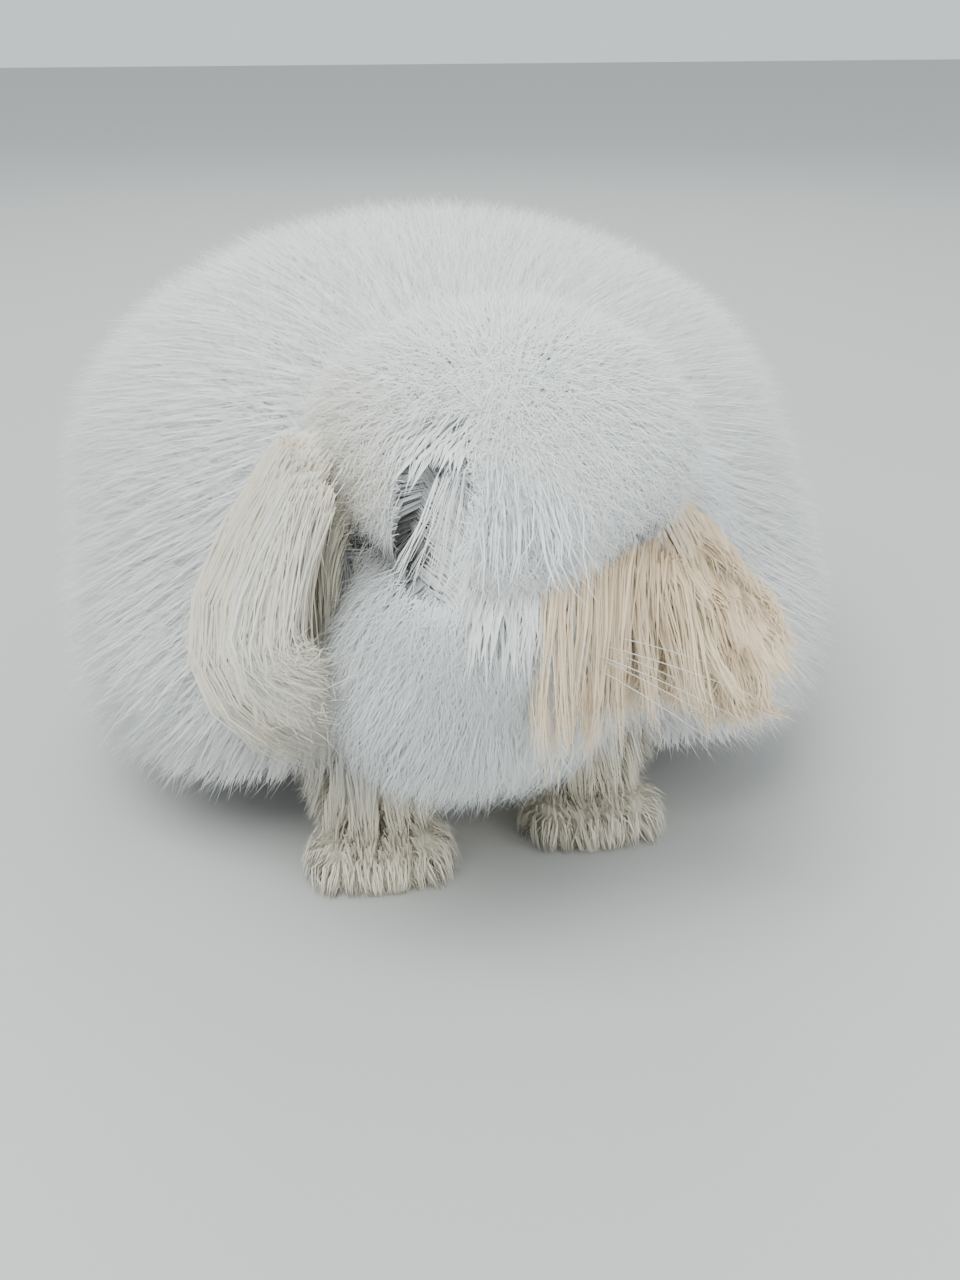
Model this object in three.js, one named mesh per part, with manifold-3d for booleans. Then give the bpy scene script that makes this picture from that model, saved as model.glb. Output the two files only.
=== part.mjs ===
// A life-size angora rabbit standing still on all four feet, in millimetres.
// +Z is up, the rabbit faces -Y with its left side on +X, and the floor is at z = 0.
// The origin lies on the floor under the middle of the whole rabbit, coat included.
import * as THREE from 'three';
import { mergeVertices } from 'three/addons/utils/BufferGeometryUtils.js';
import Module from 'manifold-3d';

const wasm = await Module();
wasm.setup();

// Driving sizes of the bare animal
const backHeight = 166; // top of the bare haunches above the floor
const haunchWidth = 136;
const chestWidth = 100;
const rumpY = 138; // bare rump
const chestY = -98; // bare chest
const headLength = 102; // nose to the back of the skull
const headWidth = 60;
const eyeRadius = 9;
const foreFootLength = 44;
const foreFootWidth = 34;
const hindFootLength = 104;
const hindFootWidth = 36;

// Driving sizes of the coat's outline
const coatWidth = 336;
const coatHeight = 232;
const coatRearY = 218;
const coreShare = 0.5; // how far the dense wool under the locks reaches towards their tips
const clearance = 3; // of the wool over the floor

// Pose
const headPitch = THREE.MathUtils.degToRad(30); // nose down
const headYaw = THREE.MathUtils.degToRad(-10); // turned to the rabbit's right
const headTurnY = -100; // where the neck turns
const headHeight = 158;
const foreFeet = { right: { x: -44, toe: -103 }, left: { x: 44, toe: -87 } };
const hindFeet = { x: 56, toe: 12 };

const gap = 0.3; // between touching pieces

const vec = (x, y, z) => new THREE.Vector3(x, y, z);
const { lerp, clamp } = THREE.MathUtils;
const down = vec(0, 0, -1);
const smooth = (t) => t * t * (3 - 2 * t);

// A seeded draw from 0 to 1, so that every build grows the same coat
function draws(seed) {
  let state = seed;
  return () => {
    state = (state + 0x6d2b79f5) | 0;
    let t = Math.imul(state ^ (state >>> 15), 1 | state);
    t = (t + Math.imul(t ^ (t >>> 7), 61 | t)) ^ t;
    return ((t ^ (t >>> 14)) >>> 0) / 4294967296;
  };
}

// Closed solids
function solid(geometry) {
  const bare = geometry.clone();
  bare.deleteAttribute('normal');
  bare.deleteAttribute('uv');
  const merged = mergeVertices(bare, 1e-4);
  return new wasm.Manifold(
    new wasm.Mesh({
      numProp: 3,
      vertProperties: merged.attributes.position.array,
      triVerts: new Uint32Array(merged.index.array),
    }),
  );
}

const joined = (solids) => solids.reduce((all, one) => all.add(one));

function largest(body) {
  return body.decompose().reduce((best, one) => (one.volume() > best.volume() ? one : best));
}

function geometryOf(body) {
  const mesh = body.getMesh();
  const geometry = new THREE.BufferGeometry();
  geometry.setAttribute('position', new THREE.BufferAttribute(mesh.vertProperties, 3));
  geometry.setIndex(new THREE.BufferAttribute(mesh.triVerts, 1));
  return geometry;
}

// Smooth forms: ellipsoids blended into one surface around a middle point
function ellipsoidDistance(point, part) {
  const local = point.clone().sub(part.at);
  if (part.turn) local.applyQuaternion(part.turn.clone().invert());
  const scaled = local.clone().divide(part.radii);
  const near = scaled.length();
  const steep = scaled.divide(part.radii).length();
  return steep < 1e-9 ? -Math.min(part.radii.x, part.radii.y, part.radii.z) : (near * (near - 1)) / steep;
}

function blended(point, parts, blend) {
  let distance = Infinity;
  for (const part of parts) {
    const next = ellipsoidDistance(point, part);
    const h = Math.max(blend - Math.abs(distance - next), 0) / blend;
    distance = Number.isFinite(distance) ? Math.min(distance, next) - (h * h * blend) / 4 : next;
  }
  return distance;
}

const farOut = 320;
const sinkSteps = 36;

function reach(middle, direction, parts, blend) {
  let low = 0;
  let high = farOut;
  for (let i = 0; i < sinkSteps; i += 1) {
    const t = (low + high) / 2;
    if (blended(middle.clone().addScaledVector(direction, t), parts, blend) < 0) low = t;
    else high = t;
  }
  return low;
}

function steepest(point, parts, blend) {
  const e = 0.5;
  const d = (x, y, z) => blended(point.clone().add(vec(x, y, z)), parts, blend);
  return vec(d(e, 0, 0) - d(-e, 0, 0), d(0, e, 0) - d(0, -e, 0), d(0, 0, e) - d(0, 0, -e)).normalize();
}

// A furred form: a skin, and the outline of its coat, both seen from one middle point
class Form {
  constructor({ middle, skin, coat = skin, blend, shortest = 0 }) {
    Object.assign(this, { middle, skin, coat, blend, shortest });
  }

  // The surface at a share of the coat's depth in one direction
  at(direction, share, grow = 0) {
    const skin = reach(this.middle, direction, this.skin, this.blend);
    const tips = Math.max(reach(this.middle, direction, this.coat, this.blend), skin + this.shortest);
    const point = this.middle.clone().addScaledVector(direction, lerp(skin, tips, share));
    const parts = tips > skin + this.shortest ? this.coat : this.skin;
    const normal = steepest(point, parts, this.blend);
    return { point: point.addScaledVector(normal, grow), normal, depth: tips - skin };
  }

  body(detail, share, grow = 0) {
    const shell = new THREE.IcosahedronGeometry(1, detail);
    const position = shell.attributes.position;
    const direction = vec();
    for (let i = 0; i < position.count; i += 1) {
      direction.fromBufferAttribute(position, i).normalize();
      const { point } = this.at(direction, share, grow);
      position.setXYZ(i, point.x, point.y, point.z);
    }
    return solid(shell);
  }
}

const egg = (x, y, z, rx, ry, rz) => ({ at: vec(x, y, z), radii: vec(rx, ry, rz) });

// A point carried straight on past its own place, away from another one
const beyond = (from, to, by) => to.clone().add(to.clone().sub(from).setLength(by || 1e-6));

// A closed body through rings of points, with its ends drawn to one point each
function loft(rings, start, end) {
  const sides = rings[0].length;
  const triangles = [];
  for (let i = 0; i + 1 < rings.length; i += 1) {
    for (let k = 0; k < sides; k += 1) {
      const next = (k + 1) % sides;
      const [a, b] = [i * sides + k, i * sides + next];
      const [c, d] = [a + sides, b + sides];
      // thin flaps are split alike on both of their faces
      if (k < sides / 2) triangles.push(a, c, b, b, c, d);
      else triangles.push(a, c, d, a, d, b);
    }
  }
  const last = (rings.length - 1) * sides;
  const points = [...rings.flat(), start, end];
  for (let k = 0; k < sides; k += 1) {
    const next = (k + 1) % sides;
    triangles.push(points.length - 2, k, next, points.length - 1, last + next, last + k);
  }
  const geometry = new THREE.BufferGeometry().setFromPoints(points);
  geometry.setIndex(triangles);
  return solid(geometry);
}

// The directions across and over a curve at t, with `side` as the wanted direction across
function crossing(curve, t, side) {
  const along = curve.getTangent(t).normalize();
  const across = side.clone().addScaledVector(along, -side.dot(along)).normalize();
  return { along, across, over: across.clone().cross(along) };
}

// Cross sections, as places [across, over] around the middle
const oval = (sides) => (wide, high, grow) =>
  Array.from({ length: sides }, (_, k) => {
    const angle = (2 * Math.PI * k) / sides;
    return [(wide + grow) * Math.cos(angle), (high + grow) * Math.sin(angle)];
  });
const ridged = (wide, high, grow) => [
  [0, high + 2 * grow],
  [-wide - 4 * grow, -high / 2 - grow],
  [wide + 4 * grow, -high / 2 - grow],
];

// A body of such sections along a curve: each station is [t, half width, half height]
function limb(curve, stations, section, side, grow = 0, tipGrow = grow) {
  const rings = stations.map(([t, wide, high]) => {
    const middle = curve.getPoint(t);
    const { across, over } = crossing(curve, t, side);
    return section(wide, high, grow).map(([a, b]) =>
      middle.clone().addScaledVector(across, a).addScaledVector(over, b),
    );
  });
  const inner = curve.getPoint(Math.max(stations[0][0], 0.05));
  const outer = curve.getPoint(Math.min(stations.at(-1)[0], 0.95));
  return loft(rings, beyond(inner, curve.getPoint(0), grow), beyond(outer, curve.getPoint(1), tipGrow));
}

// A lock of wool: flat, ridged, drawn to a point, and bent along its lie
function lock({ root, knee, tip, side, width, thick }, grow = 0) {
  const curve = new THREE.QuadraticBezierCurve3(root, knee, tip);
  const half = width / 2;
  const stations = [
    [0, half * 0.8, thick * 0.5],
    [0.42, half, thick * 0.6],
    [0.78, half * 0.62, thick * 0.4],
  ];
  return limb(curve, stations, ridged, side, grow, grow * 6);
}

// Locks spread evenly over a form, each rooted in its core and lying along the coat
function coatOf(form, { count, seed, lie, width, thick, run, bare = () => false, spread = vec(1, 1, 1) }) {
  const draw = draws(seed);
  const golden = Math.PI * (3 - Math.sqrt(5));
  const locks = [];
  for (let i = 0; i < count; i += 1) {
    const z = 1 - (2 * (i + 0.5)) / count;
    const ring = Math.sqrt(1 - z * z);
    const direction = vec(ring * Math.cos(golden * i), ring * Math.sin(golden * i), z);
    direction.multiply(spread).normalize();
    const vary = [draw(), draw(), draw(), draw()].map((value) => value * 2 - 1);
    const skin = form.at(direction, 1);
    if (bare(skin.point, skin.normal)) continue;
    const along = lie(skin.point, skin.normal).normalize();
    along.addScaledVector(skin.normal, -along.dot(skin.normal));
    const flow = clamp(along.length() / 0.6, 0.5, 1); // shorter along a parting
    along.normalize().applyAxisAngle(skin.normal, 0.24 * vary[0]);
    const far = skin.point.clone().addScaledVector(along, run * flow * (1 + 0.2 * vary[1]));
    const root = form.at(direction, coreShare * 0.72).point;
    const knee = form.at(direction, 0.84).point.lerp(far, 0.3);
    const tip = form.at(far.sub(form.middle).normalize(), 1 + 0.05 * vary[2]).point;
    const side = along.clone().cross(skin.normal);
    locks.push({ root, knee, tip, side, width: width * (1 + 0.15 * vary[3]), thick });
  }
  return locks;
}

// Torso: haunches and chest in one barrel under a round coat that hangs to the floor at the flanks
const torsoForm = new Form({
  middle: vec(0, 22, 96),
  skin: [
    egg(0, rumpY - 76, backHeight - 74, haunchWidth / 2, 76, 74),
    egg(0, chestY + 56, 88, chestWidth / 2, 56, 56),
  ],
  coat: [
    egg(0, coatRearY - 150, coatHeight - 111, coatWidth / 2 - 3, 148, 109),
    egg(0, -22, 118, 136, 92, 90),
    egg(98, 4, 66, 66, 98, 63),
    egg(-98, 4, 66, 66, 98, 63),
  ],
  blend: 34,
});

// Neck: the ruff behind the head and the bib down the chest
const neckForm = new Form({
  middle: vec(-2, -92, 116),
  skin: [egg(0, -84, 128, 42, 36, 40), egg(-4, -94, 96, 30, 26, 36)],
  coat: [egg(0, -84, 132, 94, 56, 68), egg(-6, -112, 92, 54, 42, 50)],
  blend: 20,
});

// Head: built level in its own frame, then pitched and turned into place
const headPlace = new THREE.Matrix4()
  .makeTranslation(0, headTurnY, 0)
  .multiply(new THREE.Matrix4().makeRotationZ(headYaw))
  .multiply(new THREE.Matrix4().makeTranslation(0, -142 - headTurnY, headHeight))
  .multiply(new THREE.Matrix4().makeRotationX(headPitch));
const headTurn = new THREE.Quaternion().setFromRotationMatrix(headPlace);
const inHead = (x, y, z) => vec(x, y, z).applyMatrix4(headPlace);
const headWay = (x, y, z) => vec(x, y, z).applyQuaternion(headTurn).normalize();
const headEgg = (x, y, z, rx, ry, rz) => ({ at: inHead(x, y, z), radii: vec(rx, ry, rz), turn: headTurn });
const headForm = new Form({
  middle: inHead(0, -4, 0),
  skin: [
    headEgg(0, 10, 4, headWidth / 2, headLength * 0.36, 27),
    headEgg(0, -30, -6, 16, 22, 16),
    headEgg(7.5, -41, -10, 10.5, 10, 9),
    headEgg(-7.5, -41, -10, 10.5, 10, 9),
    headEgg(0, -36, -17, 10, 12, 7),
    headEgg(15, -8, -13, 17, 23, 18),
    headEgg(-15, -8, -13, 17, 23, 18),
  ],
  coat: [headEgg(0, 36, 6, 66, 44, 46), headEgg(0, 14, 20, 40, 36, 29)],
  blend: 9,
  shortest: 2,
});

const eyeAt = { left: inHead(24.5, -9, 7), right: inHead(-24.5, -9, 7) };

function eye(side, grow = 0) {
  const globe = new THREE.SphereGeometry(eyeRadius + grow, 12, 7);
  globe.translate(...eyeAt[side].toArray());
  return solid(globe);
}

// Two lids around each eye, as one ring that is longer than it is high
function lids(side) {
  const ring = new THREE.TorusGeometry(eyeRadius * 0.86, 1.9, 4, 12);
  ring.scale(1.12, 0.86, 1);
  const out = side === 'left' ? headWay(1, -0.42, 0.12) : headWay(-1, -0.42, 0.12);
  ring.applyQuaternion(new THREE.Quaternion().setFromUnitVectors(vec(0, 0, 1), out));
  ring.translate(...eyeAt[side].clone().addScaledVector(out, 4.2).toArray());
  return solid(ring);
}

// A fine tube through points of the head's own frame
function groove(points, radius) {
  const curve = new THREE.CatmullRomCurve3(points.map(([x, y, z]) => inHead(x, y, z)));
  const stations = [0.02, 0.25, 0.5, 0.75, 0.98].map((t) => [t, radius, radius]);
  return limb(curve, stations, oval(5), headWay(0.3, 0.2, 1));
}

const noseTip = [0, -51.5, -4.5];
function nostril(side) {
  return groove(
    [
      [side * 1.6, -56, -5.2],
      [side * 3.4, -51, -4.4],
      [side * 4.6, -46, -3.2],
    ],
    1.2,
  );
}

// The line of the mouth: a cleft under the nose that parts into both lips
function mouth() {
  const cleft = groove(
    [
      [0, -55, -8],
      [0, -53, -11],
      [0, -50.5, -14.5],
    ],
    0.9,
  );
  const lips = groove(
    [
      [-13, -36, -19.5],
      [-7, -46, -17.5],
      [0, -50.5, -14.5],
      [7, -46, -17.5],
      [13, -36, -19.5],
    ],
    0.9,
  );
  return cleft.add(lips);
}

// The forelock grows on the crown and falls between and over the eyes, one row over another
function forelock() {
  const draw = draws(41);
  const rows = [
    { roots: [-15, -5, 5, 15], back: 4, rise: 40, fall: 2, wide: 17 },
    { roots: [-24, -8, 8, 24], back: 20, rise: 50, fall: 24, wide: 26 },
  ];
  const front = rows.flatMap(({ roots, back, rise, fall, wide }, row) =>
    roots.map((x) => ({
      root: inHead(x * 0.6, back, 18),
      knee: inHead(x * 1.2, back - 22 - 4 * row, rise - 0.25 * Math.abs(x)),
      tip: inHead(x * 1.3 + 2, -50 + 12 * row + 0.8 * Math.abs(x) - 6 * draw(), fall - 0.5 * Math.abs(x)),
      side: headWay(1, -0.02 * x, 0),
      width: wide + 4 * draw(),
      thick: 8,
    })),
  );
  // over the root of the left ear
  const over = [0, 1].map((i) => ({
    root: inHead(14, 24 - 16 * i, 18),
    knee: inHead(38 - 5 * i, 20 - 20 * i, 42 - 4 * i),
    tip: inHead(62 - 10 * i, 12 - 22 * i, 14 - 4 * i),
    side: headWay(0.1, 1, 0),
    width: 34,
    thick: 8,
  }));
  return [...front, ...over];
}

// Cheek wool hangs beside the mouth
function cheekLocks() {
  const draw = draws(57);
  const locks = [];
  for (const side of [-1, 1]) {
    for (let i = 0; i < 4; i += 1) {
      const y = -18 + 12 * i;
      const root = inHead(side * (20 + 1.8 * i), y + 4, -12 - 1.8 * i);
      const out = headWay(side, -0.25, -0.2);
      const knee = root.clone().addScaledVector(out, 16 + 2 * i).addScaledVector(down, 8);
      const tip = root
        .clone()
        .addScaledVector(out, 13 + 3.2 * i)
        .addScaledVector(down, 34 + 9 * draw());
      locks.push({ root, knee, tip, side: headWay(-0.3 * side, -1, 0), width: 20, thick: 8 });
    }
  }
  return locks;
}

const crownLocks = coatOf(headForm, {
  count: 34,
  seed: 7,
  spread: vec(1, 0.9, 0.9),
  width: 46,
  thick: 13,
  run: 28,
  bare: (point, normal) => {
    const level = point.clone().sub(inHead(0, 0, 0)).applyQuaternion(headTurn.clone().invert());
    return level.y < 8 || level.z < -20 || normal.z < -0.35 || normal.y > 0.8;
  },
  lie: (point) => vec((point.x - inHead(0, 0, 0).x) * 0.03, 0.4, -1),
});

const headLocks = [...forelock(), ...cheekLocks(), ...crownLocks];

function head(grow = 0) {
  const skull = headForm.body(5, coreShare, grow);
  const parts = [skull, ...headLocks.map((one) => lock(one, grow))];
  const nose = new THREE.SphereGeometry(1, 8, 6);
  nose.scale(5.2 + grow, 4 + grow, 3.8 + grow);
  nose.applyQuaternion(headTurn);
  nose.translate(...inHead(...noseTip).toArray());
  return joined([...parts, solid(nose), ...(grow ? [] : [lids('left'), lids('right')])]);
}

// Ears: curved flaps with the cup turned in and long wool on the rims. The right one hangs
// down beside the cheek, and the left one is held out, with its front rim down.
const earLines = {
  right: [
    [-20, 22, 14],
    [-38, 19, 24],
    [-58, 8, 16],
    [-71, -4, -4],
    [-77, -16, -28],
    [-76, -26, -50],
  ],
  left: [
    [20, 22, 14],
    [37, 16, 9],
    [51, 7, -11],
    [63, -2, -29],
    [76, -9, -41],
    [88, -15, -48],
  ],
};
const earStations = [
  [0, 8],
  [0.18, 11],
  [0.36, 18],
  [0.56, 23],
  [0.76, 19],
  [0.9, 12],
  [0.97, 6],
];
const earThickness = 3;
const earCup = 9;

function earCurve(side) {
  const places = side > 0 ? earLines.left : earLines.right;
  return new THREE.CatmullRomCurve3(places.map(([x, y, z]) => inHead(x, y, z)));
}

function earFrame(side, t) {
  const curve = earCurve(side);
  const turned = smooth(clamp(t / 0.6, 0, 1));
  const [swung, raised] = side > 0 ? [0.35, 0.5] : [0.75, 0];
  const across = headWay(side * (0.05 + swung * turned), 1 - 0.4 * turned, 0.06 + raised * turned);
  return { middle: curve.getPoint(t), ...crossing(curve, t, across) };
}

// A point of the flap: s runs from -1 on the front rim to 1 on the rear rim
function earPoint(side, t, halfWidth, s, lift) {
  const { middle, across, over } = earFrame(side, t);
  const back = over.clone().multiplyScalar(side);
  return middle
    .clone()
    .addScaledVector(across, halfWidth * s)
    .addScaledVector(back, earCup * (halfWidth / 24) * s * s + lift);
}

function earFlap(side, grow) {
  const spans = [-1, -0.5, 0, 0.5, 1];
  const half = earThickness / 2 + grow;
  const rings = earStations.map(([t, halfWidth]) => {
    const front = spans.map((s) => earPoint(side, t, halfWidth + grow, s * side, -half));
    const rear = spans.map((s) => earPoint(side, t, halfWidth + grow, -s * side, half));
    return [...front, ...rear];
  });
  const curve = earCurve(side);
  const [top, upper, lower, tip] = [0, 0.05, 0.95, 1].map((t) => curve.getPoint(t));
  return loft(rings, beyond(upper, top, grow), beyond(lower, tip, grow * 3));
}

// Fringes: [rim, locks, first t, how far the first and the last lock fall, sideways pull]
const fringes = {
  right: [
    [1, 5, 0.3, 34, 32, -4],
    [-1, 5, 0.3, 32, 30, 0],
  ],
  left: [
    [-1, 7, 0.16, 56, 22, 26],
    [1, 3, 0.55, 16, 14, -6],
  ],
};

function earLocks(side) {
  const draw = draws(side > 0 ? 91 : 137);
  const locks = [];
  for (const [rim, count, first, fallFirst, fallLast, pull] of side > 0 ? fringes.left : fringes.right) {
    for (let i = 0; i < count; i += 1) {
      const share = i / (count - 1);
      const t = lerp(first, 0.96, share);
      const wide = 23 * Math.sin(Math.PI * clamp(t * 0.86 + 0.08, 0, 1));
      const root = earPoint(side, t, wide, rim * 0.72, 0);
      const { along, across } = earFrame(side, t);
      const out = across.clone().multiplyScalar(rim).lerp(along, 0.35).normalize();
      const fall = lerp(fallFirst, fallLast, share) * (0.9 + 0.2 * draw());
      const inward = headWay(-side, -0.5, 0).multiplyScalar(pull * (1 - 1.6 * share));
      const knee = root.clone().addScaledVector(out, 15).addScaledVector(down, fall * 0.3);
      knee.addScaledVector(inward, 0.4);
      const tip = root
        .clone()
        .addScaledVector(out, 13 - 5 * draw())
        .addScaledVector(down, fall)
        .add(inward);
      locks.push({ root, knee, tip, side: across.clone().lerp(along, 0.5), width: 18, thick: 5 });
    }
  }
  return locks;
}

function ear(side, grow = 0) {
  return joined([earFlap(side, grow), ...earLocks(side).map((one) => lock(one, grow))]);
}

// Claws: short cones that curve down from the toes
function claw(root, way, length, grow) {
  const knee = root.clone().addScaledVector(way, length * 0.6);
  const tip = root.clone().addScaledVector(way, length).addScaledVector(down, length * 0.35);
  const curve = new THREE.QuadraticBezierCurve3(root, knee, tip);
  return limb(
    curve,
    [
      [0, 1.5, 1.7],
      [0.6, 1.0, 1.2],
    ],
    oval(4),
    vec(1, 0, 0),
    grow,
    grow * 3,
  );
}

const toeSpread = [-1, -0.34, 0.34, 1];
function toes(x, toe, halfWidth, height, grow) {
  return toeSpread.flatMap((s) => {
    const at = vec(x + s * halfWidth * 0.72, toe + 9 + 5 * Math.abs(s), height);
    const pad = new THREE.SphereGeometry(1, 7, 4);
    pad.scale(halfWidth * 0.36 + grow, 12 + grow, height * 0.95 + grow);
    pad.translate(...at.toArray());
    const way = vec(s * 0.25, -1, -0.15).normalize();
    const root = at.clone().addScaledVector(way, 8).addScaledVector(down, 1.5);
    return [solid(pad), claw(root, way, 8.5, grow)];
  });
}

// Forelegs: furred shanks on rounded feet
function foreLeg(name, grow = 0) {
  const { x, toe } = foreFeet[name];
  const heel = toe + foreFootLength;
  const half = foreFootWidth / 2 + 5;
  const foot = new Form({
    middle: vec(x, toe + foreFootLength / 2 + 4, 11),
    skin: [egg(x, toe + foreFootLength / 2 + 4, 10, half - 1, foreFootLength / 2 - 4, 13.5)],
    blend: 6,
  }).body(2, 0, grow);
  const shank = limb(
    new THREE.CatmullRomCurve3([vec(x, heel - 16, 6), vec(x, heel - 8, 34), vec(x * 0.96, heel + 12, 74)]),
    [
      [0.04, 18, 14],
      [0.3, 18, 15],
      [0.65, 21, 18],
      [0.97, 23, 20],
    ],
    oval(8),
    vec(1, 0, 0),
    grow,
  );
  const draw = draws(name === 'left' ? 211 : 223);
  const locks = [];
  for (let i = 0; i < 7; i += 1) {
    const turn = (2 * Math.PI * (i + 0.3 * draw())) / 7;
    const way = vec(Math.cos(turn), Math.sin(turn), 0);
    const root = vec(x, heel - 9, 36 + 6 * (i % 2)).addScaledVector(way, 12);
    const knee = root.clone().addScaledVector(way, 12).addScaledVector(down, 4);
    const tip = root
      .clone()
      .addScaledVector(way, 9 + 3 * draw())
      .addScaledVector(down, 24 + 5 * draw());
    locks.push({ root, knee, tip, side: vec(-way.y, way.x, 0), width: 16, thick: 6 });
  }
  return joined([
    foot,
    shank,
    ...toes(x, toe, half, 8, grow),
    ...locks.map((one) => lock(one, grow)),
  ]);
}

// Hind legs: long flat feet under thighs that the wool hides
function hindLeg(side, grow = 0) {
  const x = side * hindFeet.x;
  const { toe } = hindFeet;
  const half = hindFootWidth / 2;
  const foot = limb(
    new THREE.CatmullRomCurve3([vec(x, toe + 6, 8), vec(x, toe + 50, 10), vec(x, toe + hindFootLength, 12)]),
    [
      [0.02, half - 3, 8],
      [0.2, half, 10],
      [0.6, half - 2, 11],
      [0.85, half - 3, 12],
      [0.98, half - 8, 9],
    ],
    oval(8),
    vec(1, 0, 0),
    grow,
  );
  const thigh = new Form({
    middle: vec(x * 0.9, toe + 62, 46),
    skin: [egg(x * 0.9, toe + 62, 46, 24, 46, 40)],
    blend: 6,
  }).body(1, 0, grow);
  return joined([foot, thigh, ...toes(x, toe, half, 8, grow)]);
}

// Neck: ruff locks fall outwards, bib locks hang down the chest
const neckLocks = coatOf(neckForm, {
  count: 28,
  seed: 19,
  spread: vec(1, 0.6, 0.9),
  width: 46,
  thick: 13,
  run: 34,
  bare: (point, normal) => normal.y > 0.6 || point.z < 66,
  lie: (point, normal) => vec(point.x * 0.004, normal.z > 0.4 ? 1 : -0.25, -1),
});

function neck(grow = 0) {
  return joined([neckForm.body(4, coreShare, grow), ...neckLocks.map((one) => lock(one, grow))]);
}

const insideOf = (point, form) => blended(point, form.coat, form.blend) < -16;
const backLocks = coatOf(torsoForm, {
  count: 62,
  seed: 3,
  spread: vec(1, 0.95, 0.72),
  width: 68,
  thick: 16,
  run: 46,
  bare: (point, normal) => normal.z < -0.3 || insideOf(point, neckForm) || insideOf(point, headForm),
  lie: (point) => vec(point.x * 0.0035, 0.55, -1),
});

// The flank wool hangs almost to the floor
const skirtLocks = 6; // on each side
function skirt() {
  const draw = draws(73);
  const locks = [];
  for (const side of [-1, 1]) {
    for (let i = 0; i < skirtLocks; i += 1) {
      const turn = lerp(-1.05, 1.15, i / (skirtLocks - 1));
      const out = vec(side * Math.cos(turn), Math.sin(turn), 0);
      const reachOut = vec(0, 24, 0).add(out.clone().multiply(vec(132, 128, 0)));
      const root = torsoForm.at(vec(out.x, out.y, -0.3).normalize(), coreShare * 0.8).point;
      const knee = reachOut.clone().setZ(56).addScaledVector(out, 10);
      const tip = reachOut.clone().setZ(5 + 3 * Math.abs(turn) + 5 * draw());
      locks.push({ root, knee, tip, side: vec(-out.y, out.x, 0), width: 50, thick: 15 });
    }
  }
  return locks;
}
const torsoLocks = [...backLocks, ...skirt()];

function torso(grow = 0) {
  return joined([torsoForm.body(7, coreShare, grow), ...torsoLocks.map((one) => lock(one, grow))]);
}

// Tail: short and turned up against the rump, under a brush of wool
const tailForm = new Form({
  middle: vec(0, 168, 104),
  skin: [egg(0, 160, 100, 15, 26, 15)],
  coat: [egg(0, 184, 106, 40, 38, 37)],
  blend: 6,
});
const tailLocks = coatOf(tailForm, {
  count: 16,
  seed: 29,
  width: 28,
  thick: 10,
  run: 18,
  bare: (point, normal) => normal.y < 0.05,
  lie: () => vec(0, 0.4, -1),
});

function tail(grow = 0) {
  return joined([tailForm.body(3, coreShare, grow), ...tailLocks.map((one) => lock(one, grow))]);
}

function aboveFloor(body, height = 0) {
  return body.trimByPlane([0, 0, 1], height);
}

// Nodes, the ones kept whole first: each later one keeps clear of all before it
const makers = {
  eye_left: (grow) => eye('left', grow),
  eye_right: (grow) => eye('right', grow),
  ear_left: (grow) => ear(1, grow),
  ear_right: (grow) => ear(-1, grow),
  head: (grow) => head(grow),
  foreleg_left: (grow) => foreLeg('left', grow),
  foreleg_right: (grow) => foreLeg('right', grow),
  hindleg_left: (grow) => hindLeg(1, grow),
  hindleg_right: (grow) => hindLeg(-1, grow),
  tail: (grow) => tail(grow),
  neck: (grow) => neck(grow),
  torso: (grow) => torso(grow),
};
const standing = ['foreleg_left', 'foreleg_right', 'hindleg_left', 'hindleg_right'];

const nodes = {};
const before = [];
for (const [name, make] of Object.entries(makers)) {
  let body = make(0);
  for (const other of before) body = body.subtract(other);
  if (name === 'head') body = body.subtract(joined([nostril(1), nostril(-1), mouth()]));
  nodes[name] = aboveFloor(body, standing.includes(name) ? 0 : clearance);
  before.push(name.startsWith('eye') ? make(gap) : make(gap).add(make(0)));
}

const colours = {
  torso: 0xe9e8e4,
  neck: 0xe4e6e6,
  head: 0xe9e8e4,
  eye: 0x1d1512,
  ear: 0xdccab0,
  foreleg: 0xdcd2b8,
  hindleg: 0xe0dac8,
  tail: 0xe9e8e4,
};

const rabbit = new THREE.Group();
for (const [name, body] of Object.entries(nodes)) {
  const look = new THREE.MeshStandardMaterial({
    color: colours[name.split('_')[0]],
    roughness: name.startsWith('eye') ? 0.1 : 0.9,
    metalness: 0,
  });
  const mesh = new THREE.Mesh(geometryOf(largest(body)), look);
  mesh.name = name;
  rabbit.add(mesh);
}

// The origin goes under the middle of the coat's outline
const outline = new THREE.Box3().setFromObject(rabbit);
const middle = outline.getCenter(vec());
rabbit.position.set(-middle.x, -middle.y, 0);

export default rabbit;
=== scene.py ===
import math

import bpy
import numpy as np
from mathutils import Matrix, Vector


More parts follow.
